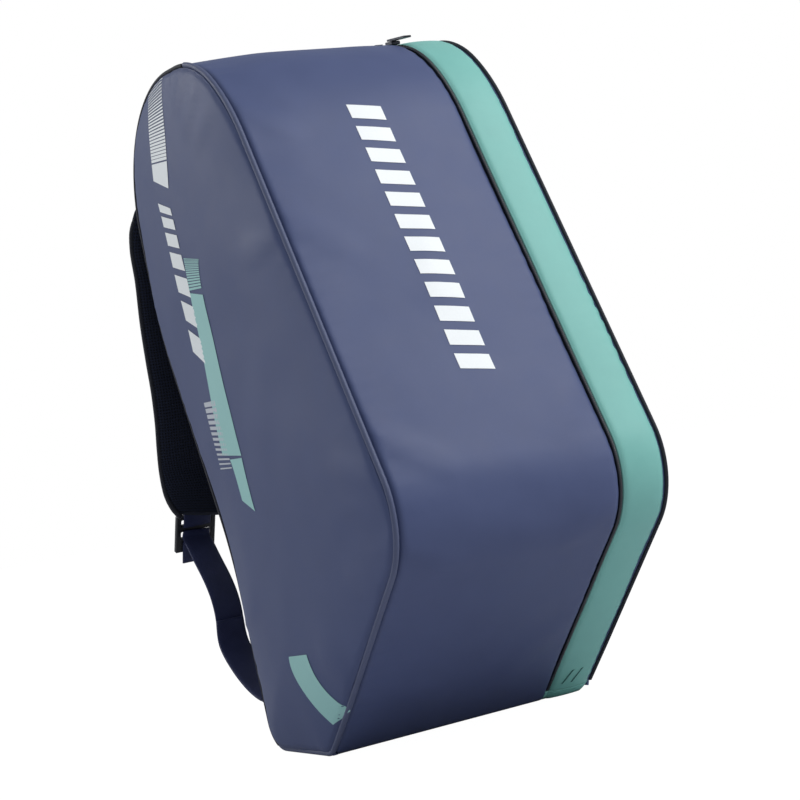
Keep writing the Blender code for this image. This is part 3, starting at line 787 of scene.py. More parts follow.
def growing(count, thin, thick, start=0.0, end=1.0):
    """Hatch lines that grow from thin to thick, as shares of their own pitch."""
    pitch = (end - start) / count
    spans = []
    for i in range(count):
        width = pitch * (thin + (thick - thin) * i / (count - 1))
        spans.append((start + i * pitch, start + i * pitch + width))
    return spans


def printed(name, patches, look, body="racket_flap"):
    item = print_object(name, patches, on_side, look)
    facing(item, lambda p: Vector((-1.0, 0.0, 0.0)))
    fold_blend(item, body, LEFT_FOLD)
    return item


hatch = growing(25, 0.30, 0.85, 0.07, 0.84)
printed("print_white_hatch", band_patches(WHITE_BAND, hatch, -0.07), WHITE_INK)
printed("print_white_block", band_patches(WHITE_BAND, [(0.85, 1.0)], -0.07, end_slant=0.02), WHITE_INK)
printed("print_teal_hatch", band_patches(TEAL_BAND, growing(15, 0.55, 0.7, 0.0, 0.34), -0.03), TEAL_INK)
printed("print_teal_band", band_patches(TEAL_BAND, [(0.35, 1.0)]), TEAL_INK)
printed("print_teal_foot", band_patches(TEAL_FOOT, [(0.0, 1.0)]), TEAL_INK)
printed("print_grey_hatch", band_patches(GREY_BAND, growing(13, 0.75, 0.3)), GREY_INK)
printed("print_teal_curve", band_patches(TEAL_CURVE, [(0.0, 1.0)]), TEAL_INK)
bar_spans = [(0.0, 0.09), (0.13, 0.22), (0.26, 0.35), (0.39, 0.48), (0.52, 0.61), (0.65, 0.74), (0.78, 0.87)]
printed("print_side_bars", band_patches(BAR_PLACE, bar_spans, 0.05, (0.1, 0.9)), WHITE_INK)

# Plain slanted bars down the front, printed white on the long upper facet.
BELLY_LENGTH = sum(MARKS["belly"]) / 2
BAR_COUNT = 12


def on_front(place):
    return front_point(BELLY_LENGTH - place.y, place.x, 0.00035)


patches = []
for i in range(BAR_COUNT):
    low = 0.108 + i * 0.0198
    left = -0.0235
    wide = 0.0275
    lean = -0.0050
    thick = 0.0125
    patches.append((
        Vector((left, low)), Vector((left + wide, low + lean)),
        Vector((left + wide, low + lean + thick)), Vector((left, low + thick)),
    ))
bars = print_object("print_front_bars", patches, on_front, WHITE_INK)
facing(bars, from_middle)
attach(bars, "bag")

# ------------------------------------------------------------------ door side
# The teal gusset is sewn to the crowned right panel with a thin black corded seam. On the bag both
# open on the main zip as one door, which bends at its fold; here the gusset rides on the door, but the
# right panel cloth is on no body and does not bend. A sewn toe strip and sill stay on the bag.

TEAL = coated_cloth("teal coated cloth", (0.165, 0.420, 0.380), (0.200, 0.480, 0.435), 0.46)
DOOR_FOLD = (locate(ZIP_BACK)[0], locate(DOOR_FOLD_BOTTOM)[0])


def gusset_point(length, x):
    left = x - GUSSET_LEFT
    right = GUSSET_RIGHT - x
    offset = 0.0012 * max(0.0, 1 - ((left - right) / (left + right)) ** 2)
    offset += seam_drop(left, 0.0012, 0.0018) + seam_drop(right, 0.0018, 0.0024)
    offset += pucker(length + 0.7, right, 0.0005) + slack((x, length, 3.0), 0.05, 0.0006)
    point, normal = locate(length)
    return Vector((x, *(point + normal * offset)))


def gusset_sheet(name, start, end, body, stands_for, left=GUSSET_LEFT):
    rows = []
    flat = []
    lengths = along_edged(start, end, 0.004) if end - start > 0.03 else steps(start, end, 0.002)
    for length in lengths:
        across = edged(left, GUSSET_RIGHT, 9)
        rows.append([gusset_point(length, x) for x in across])
        flat.append([(x, length) for x in across])
    hemmed(rows, flat, under(lengths))
    item = grid_object(name, rows, flat, TEAL)
    facing(item, from_middle)
    shell(item)
    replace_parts(item, stands_for)
    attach(item, body)
    return item


gusset_sheet("door_gusset_cloth", ZIP_BACK + 0.0006, GUSSET_END - 0.0002, "door", "door_gusset")
gusset_sheet("toe_cloth", GUSSET_END + 0.0004, AROUND, "bag", "toe_strip", BAND_RIGHT + 0.0004)

SILL_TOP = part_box("side_sill")[1].z
door = side_sheet("door_side_cloth", 1, SILL_TOP + 0.0006, NAVY)
facing(door, lambda p: Vector((1.0, 0.0, 0.0)))
shell(door, 0.0016)
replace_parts(door, "door_panel", "side_strip")
fold_blend(door, "door", DOOR_FOLD)

low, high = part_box("side_sill")
rows = []
flat = []
for step in steps(0.0, 1.0, 0.1):
    z = low.z + (high.z - low.z) * step
    reach = steps(low.y + 0.001, high.y, 0.005)
    rows.append([Vector((high.x - 0.0012 * (1 - step), y, z)) for y in reach])
    flat.append([(y, z) for y in reach])
sill = grid_object("door_sill_cloth", rows, flat, NAVY)
facing(sill, lambda p: Vector((1.0, 0.0, 0.0)))
shell(sill, 0.0022)
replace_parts(sill, "side_sill")
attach(sill, "bag")

thin_x = RIGHT - 0.0014
for name, start, end, body, node in (
    ("door_cord", ZIP_BACK + 0.001, GUSSET_END - 0.0005, "door", "door_piping"),
    ("back_cord", DOOR_FOLD_BOTTOM + 0.001, ZIP_BACK - 0.001, "bag", "back_edge_piping"),
):
    item = cord(name, start, end, thin_x, -0.0009, 0.0015, BLACK_TRIM, body, [node])

# Bar tacks at the foot of the gusset: dense zigzag stitching in dark green thread.
THREAD = ink("dark green thread", (0.012, 0.10, 0.09))


def stitches(name, path, length, thick, look, body):
    """Separate stitches; path gives (middle, direction along the stitch, outward) for each."""
    shape = bmesh.new()
    for middle, along, out in path:
        side_way = along.cross(out).normalized()
        ring = []
        for share, swell in ((-0.5, 0.15), (-0.35, 0.8), (0.0, 1.0), (0.35, 0.8), (0.5, 0.15)):
            centre = middle + along * (length * share) + out * (thick * 0.3 * swell)
            ring.append([
                shape.verts.new(centre + (side_way * math.cos(a) + out * math.sin(a)) * (thick / 2 * swell))
                for a in (i * math.pi / 3 for i in range(6))
            ])
        for first, second in zip(ring, ring[1:]):
            for i in range(6):
                shape.faces.new((first[i], first[(i + 1) % 6], second[(i + 1) % 6], second[i]))
        shape.faces.new(ring[0][::-1])
        shape.faces.new(ring[-1])
    bmesh.ops.recalc_face_normals(shape, faces=shape.faces)
    mesh = bpy.data.meshes.new(name)
    shape.to_mesh(mesh)
    shape.free()
    mesh.shade_smooth()
    mesh.materials.append(look)
    item = bpy.data.objects.new(name, mesh)
    scene.collection.objects.link(item)
    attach(item, body)
    return item


path = []
for column in (0.0, 0.0085):
    for i in range(22):
        length = GUSSET_END - 0.007 - i * 0.0007
        x = GUSSET_LEFT + 0.0085 + column + 0.00024 * i
        point, normal = locate(length)
        along = Vector((1.0, 0.0, 0.0)).lerp(Vector((0.0, normal.y, -normal.x)), 0.2 if i % 2 else -0.2)
        path.append((gusset_point(length, x), along.normalized(), Vector((0.0, *normal))))
stitches("gusset_bar_tacks", path, 0.0022, 0.0005, THREAD, "door")

# ------------------------------------------------------------------ zips
# Woven nylon tapes with a moulded coil of teeth between them, sunk in the seam. The main zip runs
# over the top and down the front; the racket zip runs up the back edge on the other side.


def coil_look():
    """Black nylon, mottled a little lighter at random."""
    look, tree, surface = new_material("nylon coil")
    place = add(tree, "ShaderNodeTexCoord").outputs["Object"]
    fleck = add(tree, "ShaderNodeTexNoise", Scale=420.0, Detail=3.0)
    tree.links.new(place, fleck.inputs["Vector"])
    tone = add(tree, "ShaderNodeMix", data_type="RGBA")
    tone.inputs["A"].default_value = (0.006, 0.007, 0.012, 1.0)
    tone.inputs["B"].default_value = (0.016, 0.018, 0.028, 1.0)
    tree.links.new(fleck.outputs["Fac"], tone.inputs["Factor"])
    tree.links.new(tone.outputs["Result"], surface.inputs["Base Color"])
    surface.inputs["Roughness"].default_value = 0.38
    return look


COIL = coil_look()
TOOTH_PITCH = 0.0016


def coil(name, start, end, x, depth, body, node):
    """A run of teeth: each turn of the coil swells and pinches."""
    rows = []
    flat = []
    for s in steps(start, end, TOOTH_PITCH / 4):
        point, normal = locate(s)
        swell = 1 + 0.16 * math.cos(2 * math.pi * s / TOOTH_PITCH)
        row = []
        for i in range(9):
            a = 2 * math.pi * i / 8
            place = point + normal * (depth + 0.00115 * swell * math.sin(a))
            row.append(Vector((x + 0.0014 * swell * math.cos(a), *place)))
        rows.append(row)
        flat.append([(s, 0.0009 * i) for i in range(9)])
    item = grid_object(name, rows, flat, COIL)
    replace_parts(item, node)
    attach(item, body)
    return item


coil_depth = -0.00115
main_x = sum(c.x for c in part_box("main_zip_coil")) / 2
side_x = sum(c.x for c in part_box("side_zip_coil")) / 2
coil("main_zip_teeth", ZIP_BACK + 0.0006, GUSSET_END - 0.0006, main_x, coil_depth, "bag", "main_zip_coil")
coil("side_zip_teeth", FOLD_BOTTOM + 0.002, FOLD_TOP - 0.001, side_x, coil_depth, "bag", "side_zip_coil")


def tape_group():
    """Woven tape: fine ribs along it with a twill slant."""
    tree, given, result = new_group(
        "ribbed webbing",
        [("Vector", "NodeSocketVector", None), ("Ribs per Metre", "NodeSocketFloat", 600.0)],
        [("Height", "NodeSocketFloat"), ("Fade", "NodeSocketFloat")],
    )
    scaled = add(tree, "ShaderNodeVectorMath", operation="SCALE")
    tree.links.new(given.outputs["Vector"], scaled.inputs[0])
    tree.links.new(given.outputs["Ribs per Metre"], scaled.inputs["Scale"])
    ribs = add(tree, "ShaderNodeTexWave", Scale=1.0, Distortion=0.3, bands_direction="Y")
    slant = add(tree, "ShaderNodeTexWave", Scale=0.7, Distortion=0.5, bands_direction="DIAGONAL")
    both = add(tree, "ShaderNodeMath", operation="MULTIPLY_ADD")
    both.inputs[1].default_value = 0.4
    fade = add(tree, "ShaderNodeTexNoise", Scale=60.0, Detail=4.0)
    for wave in (ribs, slant):
        tree.links.new(scaled.outputs[0], wave.inputs["Vector"])
    tree.links.new(given.outputs["Vector"], fade.inputs["Vector"])
    tree.links.new(slant.outputs["Fac"], both.inputs[0])
    tree.links.new(ribs.outputs["Fac"], both.inputs[2])
    tree.links.new(both.outputs[0], result.inputs["Height"])
    tree.links.new(fade.outputs["Fac"], result.inputs["Fade"])
    return tree


RIBS = tape_group()


def woven_tape(name, shade, light, ribs, bump=0.5, rough=0.62, use_flat=True):
    """Webbing or zip tape: raised ribs, with painted shade in the grooves and painted light on the rib tops, faded
    in and out at random.
    """
    look, tree, surface = new_material(name)
    if use_flat:
        place = add(tree, "ShaderNodeUVMap", uv_map="flat").outputs["UV"]
    else:
        place = add(tree, "ShaderNodeTexCoord").outputs["Object"]
    weave = add(tree, "ShaderNodeGroup", node_tree=RIBS)
    weave.inputs["Ribs per Metre"].default_value = ribs
    tree.links.new(place, weave.inputs["Vector"])
    tone = add(tree, "ShaderNodeMix", data_type="RGBA")
    tone.inputs["A"].default_value = (*shade, 1.0)
    tone.inputs["B"].default_value = (*light, 1.0)
    # Painted shade and light: the rib height, faded at random, mixes the two colours, dark in the grooves and
    # light on the rib tops.
    shading = add(tree, "ShaderNodeMath", operation="MULTIPLY")
    tree.links.new(weave.outputs["Height"], shading.inputs[0])
    tree.links.new(weave.outputs["Fade"], shading.inputs[1])
    tree.links.new(shading.outputs[0], tone.inputs["Factor"])
    tree.links.new(tone.outputs["Result"], surface.inputs["Base Color"])
    raised = add(tree, "ShaderNodeBump", Strength=bump, Distance=0.0004)
    tree.links.new(weave.outputs["Height"], raised.inputs["Height"])
    tree.links.new(raised.outputs["Normal"], surface.inputs["Normal"])
    surface.inputs["Roughness"].default_value = rough
    surface.inputs["Specular IOR Level"].default_value = 0.3
    return look


# The zip tape's ribs carry painted shade in their grooves.
TAPE = woven_tape("zip tape", (0.008, 0.010, 0.018), (0.020, 0.024, 0.040), 700.0)


def tape(name, start, end, left, right, depth, body, node, look=TAPE):
    """A flat woven tape along the outline, between two planes."""
    rows = []
    flat = []
    for s in steps(start, end, 0.004):
        point, normal = locate(s)
        place = point + normal * depth
        across = steps(left, right, 0.002)
        rows.append([Vector((x, *(place + normal * slack((x, s, 5.0), 0.03, 0.0003)))) for x in across])
        flat.append([(x, s) for x in across])
    item = grid_object(name, rows, flat, look)
    facing(item, from_middle)
    shell(item, 0.0009)
    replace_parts(item, node)
    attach(item, body)
    return item


tape_depth = -0.0027
for name, start, end, body in (
    ("main_zip_tape", ZIP_BACK + 0.001, GUSSET_END, "bag"),
    ("door_zip_tape", ZIP_BACK + 0.001, GUSSET_END, "door"),
    ("side_zip_tape", FOLD_BOTTOM + 0.003, FOLD_TOP - 0.003, "bag"),
    ("flap_zip_tape", FOLD_BOTTOM + 0.003, FOLD_TOP - 0.003, "racket_flap"),
):
    low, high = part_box(name)
    tape(name + "_woven", start, end, low.x, high.x, tape_depth, body, name)


def painted_metal():
    """Black painted die-cast metal, rubbed brighter in patches."""
    look, tree, surface = new_material("painted slider metal")
    place = add(tree, "ShaderNodeTexCoord").outputs["Object"]
    rub = add(tree, "ShaderNodeTexNoise", Scale=260.0, Detail=4.0)
    tree.links.new(place, rub.inputs["Vector"])
    tone = add(tree, "ShaderNodeMix", data_type="RGBA")
    tone.inputs["A"].default_value = (0.010, 0.011, 0.018, 1.0)
    tone.inputs["B"].default_value = (0.045, 0.048, 0.060, 1.0)
    tree.links.new(rub.outputs["Fac"], tone.inputs["Factor"])
    tree.links.new(tone.outputs["Result"], surface.inputs["Base Color"])
    wear = add(tree, "ShaderNodeMapRange")
    wear.inputs["To Min"].default_value = 0.25
    wear.inputs["To Max"].default_value = 0.5
    tree.links.new(rub.outputs["Fac"], wear.inputs["Value"])
    tree.links.new(wear.outputs["Result"], surface.inputs["Roughness"])
    surface.inputs["Metallic"].default_value = 0.7
    return look


METAL = painted_metal()


def finish_node(node, look, edge=0.0):
    """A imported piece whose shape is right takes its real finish, and rounded edges where it has none."""
    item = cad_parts[node]
    item.data.materials.clear()
    item.data.materials.append(look)
    if edge:
        rounded = item.modifiers.new("rounded edge", "BEVEL")
        rounded.width = edge
        rounded.segments = 3
        rounded.limit_method = "ANGLE"
        item.data.shade_smooth()
        item.data.set_sharp_from_angle(angle=math.radians(40))


for zip_name in ("front", "rear", "side"):
    finish_node(zip_name + "_slider", METAL, 0.0004)
    finish_node(zip_name + "_pull", METAL, 0.0003)

# ------------------------------------------------------------------ back
# The wearer's side: a black cloth panel with a flap edge beside the racket zip, foam pads under
# spacer mesh, and a sewn yoke at the top that holds the shoulder straps and the grab handle.


def mesh_group():
    """Spacer mesh: rows of small open holes in a knitted face."""
    tree, given, result = new_group(
        "spacer mesh",
        [("Vector", "NodeSocketVector", None), ("Holes per Metre", "NodeSocketFloat", 420.0)],
        [("Height", "NodeSocketFloat"), ("Hole", "NodeSocketFloat")],
    )
    cells = add(tree, "ShaderNodeTexVoronoi", Randomness=0.08)
    tree.links.new(given.outputs["Vector"], cells.inputs["Vector"])
    tree.links.new(given.outputs["Holes per Metre"], cells.inputs["Scale"])
    # This mask of the holes also places the painted shade inside them.
    shaded_hole = add(tree, "ShaderNodeMapRange")
    shaded_hole.inputs["From Min"].default_value = 0.22
    shaded_hole.inputs["From Max"].default_value = 0.36
    knit = add(tree, "ShaderNodeTexNoise", Scale=1500.0, Detail=1.0)
    tree.links.new(given.outputs["Vector"], knit.inputs["Vector"])
    tree.links.new(cells.outputs["Distance"], shaded_hole.inputs["Value"])
    both = add(tree, "ShaderNodeMath", operation="MULTIPLY_ADD")
    both.inputs[1].default_value = 0.25
    tree.links.new(knit.outputs["Fac"], both.inputs[0])
    tree.links.new(shaded_hole.outputs["Result"], both.inputs[2])
    tree.links.new(both.outputs[0], result.inputs["Height"])
    tree.links.new(shaded_hole.outputs["Result"], result.inputs["Hole"])
    return tree


HOLES = mesh_group()


def spacer_mesh(name, shaded_hole, face, per_metre=420.0):
    """Black spacer mesh over foam; the holes take the darker colour, partly the backing seen through and partly
    painted shade inside them.
    """
    look, tree, surface = new_material(name)
    place = add(tree, "ShaderNodeUVMap", uv_map="flat").outputs["UV"]
    knit = add(tree, "ShaderNodeGroup", node_tree=HOLES)
    knit.inputs["Holes per Metre"].default_value = per_metre
    tree.links.new(place, knit.inputs["Vector"])
    # Painted shade: the holes take the darker first colour, partly the backing seen through.
    tone = add(tree, "ShaderNodeMix", data_type="RGBA")
    tone.inputs["A"].default_value = (*shaded_hole, 1.0)
    tone.inputs["B"].default_value = (*face, 1.0)
    tree.links.new(knit.outputs["Hole"], tone.inputs["Factor"])
    tree.links.new(tone.outputs["Result"], surface.inputs["Base Color"])
    raised = add(tree, "ShaderNodeBump", Strength=0.7, Distance=0.0008)
    tree.links.new(knit.outputs["Height"], raised.inputs["Height"])
    tree.links.new(raised.outputs["Normal"], surface.inputs["Normal"])
    surface.inputs["Roughness"].default_value = 0.8
    surface.inputs["Specular IOR Level"].default_value = 0.25
    return look


# The first colour is for the holes: dark backing with painted shade in them.
MESH = spacer_mesh("black spacer mesh", (0.0012, 0.0018, 0.005), (0.009, 0.013, 0.030))
BACK_CLOTH = coated_cloth("black back cloth", (0.011, 0.013, 0.024), (0.018, 0.020, 0.034), 0.62)


def back_point(length, x, lift=0.0):
    point, normal = locate(length)
    left = x - BACK_LEFT
    right = GUSSET_RIGHT - x
    offset = seam_drop(left, 0.0010, 0.002) + seam_drop(right, 0.0016, 0.002) - 0.0002
    offset += 0.0003 * noise.noise(Vector((x, length, 8.0)) / 0.05)
    return Vector((x, *(point + normal * (offset + lift))))


rows = []
flat = []
lengths = along_edged(FOLD_BOTTOM, ZIP_BACK, 0.005)
for length in lengths:
    across = edged(BACK_LEFT, GUSSET_RIGHT, 24)
    rows.append([back_point(length, x) for x in across])
    flat.append([(x, length) for x in across])
hemmed(rows, flat, under(lengths))
back = grid_object("back_cloth", rows, flat, BACK_CLOTH)
facing(back, from_middle)
shell(back, 0.0016)
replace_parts(back, "back_panel")
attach(back, "bag")

low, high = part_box("flap_edge")
tape("flap_edge_cloth", FOLD_BOTTOM + 0.0022, FOLD_TOP - 0.002, low.x, high.x, -0.0003,
     "racket_flap", "flap_edge", BACK_CLOTH)


def stuffed(item, stitched, cap, pressure=4.0):
    """Foam fills the sewn cover: a short cloth simulation swells it between its stitched points."""
    rest = [v.co.copy() for v in item.data.vertices]
    held = item.vertex_groups.new(name="stitched")
    held.add(stitched, 1.0, "REPLACE")
    cover = item.modifiers.new("cover", "CLOTH")
    cover.settings.vertex_group_mass = "stitched"
    cover.settings.use_pressure = True
    cover.settings.uniform_pressure_force = pressure
    cover.settings.effector_weights.gravity = 0.0
    cover.settings.tension_stiffness = 20.0
    cover.settings.compression_stiffness = 10.0
    cover.point_cache.frame_start = 1
    cover.point_cache.frame_end = 20
    for moment in range(1, 21):
        scene.frame_set(moment)
    graph = bpy.context.evaluated_depsgraph_get()
    swollen = [v.co.copy() for v in item.evaluated_get(graph).data.vertices]
    item.modifiers.clear()
    for vertex, start, end in zip(item.data.vertices, rest, swollen):
        move = end - start
        if move.length > cap:
            move = move.normalized() * cap
        vertex.co = start + move
    item.data.update()
    scene.frame_set(1)
    return item


def pad_sheet(name, start, end, left, right, thick, corner=0.018):
    """A sewn foam pad on the back: rounded corners, a crowned face and a flat side on the panel."""
    rows = []
    flat = []
    middle_s, half_s = (start + end) / 2, (end - start) / 2
    middle_x, half_x = (left + right) / 2, (right - left) / 2
    stitched = []
    count = 0
    for s in along_edged(start, end, 0.005):
        row = []
        places = []
        shorter = max(0.0, abs(s - middle_s) - (half_s - corner))
        reach = half_x - corner + math.sqrt(max(0.0, corner * corner - shorter * shorter))
        for x in edged(middle_x - reach, middle_x + reach, 14):
            to_edge = min(half_s - abs(s - middle_s), reach - abs(x - middle_x))
            rise = thick * min(1.0, max(0.0, to_edge) / 0.009) ** 0.55
            point, normal = locate(s)
            row.append(Vector((x, *(point + normal * (0.0004 + rise)))))
            places.append((x, s))
            if to_edge < 0.0008:
                stitched.append(count)
            count += 1
        rows.append(row)
        flat.append(places)
    item = grid_object(name, rows, flat, MESH)
    facing(item, from_middle)
    return item, stitched


def pad(name, node, start, end, cap=0.0035):
    low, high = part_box(node)
    item, stitched = pad_sheet(name, start, end, low.x, high.x, 0.0052)
    stuffed(item, stitched, cap)
    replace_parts(item, node)
    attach(item, "bag")
    return item


shoulder = MARKS["shoulder"][0]
pads = (shoulder - 0.095, MARKS["crown_back"][0] - 0.035)
pad("back_pad_left_mesh", "back_pad_left", *pads)
pad("back_pad_right_mesh", "back_pad_right", *pads)
pad("lumbar_pad_mesh", "lumbar_pad", MARKS["heel"][1] + 0.036, shoulder - 0.103)

# ------------------------------------------------------------------ shoulder straps
# Each strap is foam in spacer mesh with a bound edge, sewn to the yoke at the top. A ladder lock
# at its foot takes navy webbing, which runs to a folded tab on the bag's lower corner.

yoke_start = on_bend("crown_back", 12.0, 0.106)
yoke_end = on_bend("crown_back", 36.0, 0.106)
low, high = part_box("strap_yoke")
rows = []
flat = []
for s in along_edged(yoke_start, yoke_end, 0.004):
    across = edged(low.x, high.x, 26)
    edge_s = min(s - yoke_start, yoke_end - s)
    row = []
    for x in across:
        rise = 0.0026 * min(1.0, 0.35 + min(edge_s, x - low.x, high.x - x) / 0.006)
        rise += slack((x, s, 11.0), 0.03, 0.0004)
        point, normal = locate(s)
        row.append(Vector((x, *(point + normal * rise))))
    rows.append(row)
    flat.append([(x, s) for x in across])
yoke = grid_object("strap_yoke_cloth", rows, flat, BACK_CLOTH)
facing(yoke, from_middle)
shell(yoke, 0.0018)
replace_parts(yoke, "strap_yoke")
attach(yoke, "bag")

BLACK_THREAD = ink("black thread", (0.020, 0.022, 0.036))
path = []
for s in (yoke_start + 0.004, yoke_end - 0.004):
    point, normal = locate(s)
    for i in range(62):
        x = low.x + 0.004 + (high.x - low.x - 0.008) * i / 61
        path.append((Vector((x, *(point + normal * 0.0027))), Vector((1.0, 0.0, 0.0)), Vector((0.0, *normal))))
stitches("yoke_stitching", path, 0.0024, 0.0006, BLACK_THREAD, "bag")


def smooth_route(route, pitch=0.004):
    """Stations (x, y, z, width, thickness) on a smooth curve through the given ones."""
    count = len(route)
    made = []
    for i in range(count - 1):
        a, b, c, d = (route[min(max(i + k, 0), count - 1)] for k in (-1, 0, 1, 2))
        span = math.dist(b[:3], c[:3])
        pieces = max(1, round(span / pitch))
        for k in range(pieces):
            t = k / pieces
            made.append(tuple(
                0.5 * (2 * q + (r - p) * t + (2 * p - 5 * q + 4 * r - w) * t * t
                       + (3 * q - p - 3 * r + w) * t ** 3)
                for p, q, r, w in zip(a, b, c, d)
            ))
    made.append(tuple(route[-1]))
    return made


def strip(name, route, look, section, bulge=0.0):
    """A closed strap along a route: section gives its outline for a half width and half thickness."""
    stations = smooth_route(route)
    rows = []
    flat = []
    length = 0.0
    for i, station in enumerate(stations):
        here = Vector(station[:3])
        before = Vector(stations[max(i - 1, 0)][:3])
        after = Vector(stations[min(i + 1, len(stations) - 1)][:3])
        if i:
            length += (here - before).length
        along = (after - before).normalized()
        across = Vector((1.0, 0.0, 0.0)) - along * along.x
        across.normalize()
        out = across.cross(along)
        out = out if out.y + 0.3 * out.z > 0 else -out
        outline = section(station[3] / 2, station[4] / 2)
        turned = 0.0
        row = []
        places = []
        for j, (w, h) in enumerate(outline + outline[:1]):
            row.append(here + across * w + out * h)
            if j:
                last = outline[j - 1]
                turned += math.hypot(w - last[0], h - last[1])
            places.append((turned, length))
        rows.append(row)
        flat.append(places)
    item = grid_object(name, rows, flat, look)
    shape = bmesh.new()
    shape.from_mesh(item.data)
    bmesh.ops.remove_doubles(shape, verts=shape.verts, dist=1e-6)
    loops = [e for e in shape.edges if e.is_boundary]
    bmesh.ops.holes_fill(shape, edges=loops, sides=0)
    bmesh.ops.recalc_face_normals(shape, faces=shape.faces)
    shape.to_mesh(item.data)
    shape.free()
    item.data.shade_smooth()
    return item


def pad_section(w, h):
    """A crowned pad whose foam ends before a thin sewn edge."""
    points = []
    for i in range(24):
        a = 2 * math.pi * i / 24
        c, s = math.cos(a), math.sin(a)
        points.append((
            w * math.copysign(abs(c) ** 0.55, c),
            h * math.copysign(abs(s) ** 0.75, s),
        ))
    return points


def webbing_section(w, h):
    """Flat webbing with rounded selvedges."""
    top = [(w * f, h) for f in (0.94, 0.7, 0.35, 0.0, -0.35, -0.7, -0.94)]
    return [(w, 0.0)] + top + [(-w, 0.0)] + [(x, -y) for x, y in reversed(top)]


def rod(name, points, radius, look, body, squash=1.0):
    """A round binding or rolled piece along points."""
    rows = []
    flat = []
    frame_x = None
    length = 0.0
    for i, here in enumerate(points):
        along = (points[min(i + 1, len(points) - 1)] - points[max(i - 1, 0)]).normalized()
        if frame_x is None:
            frame_x = along.orthogonal().normalized()
        frame_x = (frame_x - along * frame_x.dot(along)).normalized()
        frame_y = along.cross(frame_x)
        if i:
            length += (here - points[i - 1]).length
        ring = []
        for j in range(11):
            a = 2 * math.pi * j / 10
            ring.append(here + (frame_x * math.cos(a) + frame_y * math.sin(a) * squash) * radius)
        rows.append(ring)
        flat.append([(0.6 * radius * j, length) for j in range(11)])
    item = grid_object(name, rows, flat, look)
    shape = bmesh.new()
    shape.from_mesh(item.data)
    bmesh.ops.remove_doubles(shape, verts=shape.verts, dist=1e-6)
    bmesh.ops.holes_fill(shape, edges=[e for e in shape.edges if e.is_boundary], sides=0)
    bmesh.ops.recalc_face_normals(shape, faces=shape.faces)
    shape.to_mesh(item.data)
    shape.free()
    item.data.shade_smooth()
    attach(item, body)
    return item


# The binding and the webbing carry painted shade in the grooves of their ribs.
BINDING = woven_tape("black binding tape", (0.006, 0.007, 0.013), (0.016, 0.018, 0.030), 900.0, 0.35)
WEBBING = woven_tape("navy webbing", (0.014, 0.020, 0.070), (0.045, 0.055, 0.150), 520.0, 0.7, 0.5)
LOCK_X = 0.088
LOCK_TOP = Vector((0.190, 0.188))
LOCK_DOWN = Vector((16.0, -30.0)).normalized()
LOCK_OUT = Vector((-LOCK_DOWN.y, LOCK_DOWN.x))
LOCK_THICKNESS = 0.004
STRAP_WIDTH = 0.065
STRAP_PAD = 0.010
WEB_WIDTH = 0.025
WEB_THICKNESS = 0.0016

crown_point, crown_normal = locate(on_bend("crown_back", 24.0, 0.106))
strap_top = crown_point + crown_normal * 0.0061
STRAP_ROUTE = [
    (0.0660, strap_top.x, strap_top.y, 0.76 * STRAP_WIDTH, 0.006),
    (0.0710, strap_top.x + 0.008, strap_top.y - 0.015, 0.86 * STRAP_WIDTH, 0.008),
    (0.0810, strap_top.x + 0.018, strap_top.y - 0.032, 0.96 * STRAP_WIDTH, 0.009),
    (0.0830, strap_top.x + 0.023, strap_top.y - 0.052, STRAP_WIDTH, 0.011),
    (0.0830, 0.1610, 0.383, STRAP_WIDTH, STRAP_PAD),
    (0.0830, 0.1665, 0.350, STRAP_WIDTH, STRAP_PAD),
    (0.0830, 0.1685, 0.318, STRAP_WIDTH, STRAP_PAD),
    (0.0830, 0.1690, 0.293, STRAP_WIDTH, STRAP_PAD),
    (0.0830, 0.1725, 0.268, STRAP_WIDTH, STRAP_PAD),
    (0.0830, 0.1785, 0.246, STRAP_WIDTH, STRAP_PAD),
    (0.0830, 0.1840, 0.226, 0.98 * STRAP_WIDTH, STRAP_PAD),
    (0.0845, 0.1835, 0.207, 0.92 * STRAP_WIDTH, STRAP_PAD),
    (0.0865, 0.1800, 0.194, 0.77 * STRAP_WIDTH, 0.008),
    (0.0880, 0.1770, 0.187, 0.60 * STRAP_WIDTH, 0.006),
]


def lock_layer(down):
    """A (y, z) point on the webbing layer behind the lock, at a distance from its top."""
    gap = LOCK_THICKNESS / 2 + 0.0005 + WEB_THICKNESS / 2
    return LOCK_TOP + LOCK_DOWN * down - LOCK_OUT * gap


def on_side_of(route, side):
    return [(station[0] * side, *station[1:]) for station in route]


def web_piece(name, route, side, look, width=WEB_WIDTH, thick=WEB_THICKNESS):
    stations = [(*station, width, thick) for station in route]
    item = strip(name, on_side_of(stations, side), look, webbing_section)
    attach(item, "bag")
    return item


heel_end = MARKS["heel"][1]
anchor_point, anchor_normal = locate(heel_end + 0.015)
tab_root = anchor_point + anchor_normal * 0.0029
WEB_PATH = [lock_layer(0.014), lock_layer(0.020), (0.188, 0.159), (0.179, 0.1485), (0.165, 0.132)]
WEB_PATH += [(0.156, 0.117), (0.1525, 0.103), (0.153, 0.090)]
TAB_ROUTE = [
    (LOCK_X, *tab_root, 0.025, 0.0024),
    (LOCK_X + 0.0010, 0.088, 0.034, 0.027, 0.0024),
    (LOCK_X + 0.0025, 0.112, 0.043, 0.028, 0.0024),
    (LOCK_X + 0.0035, 0.135, 0.060, 0.028, 0.0024),
    (LOCK_X + 0.0040, 0.1505, 0.079, 0.027, 0.0024),
    (LOCK_X + 0.0040, 0.1504, 0.099, 0.025, 0.0024),
]

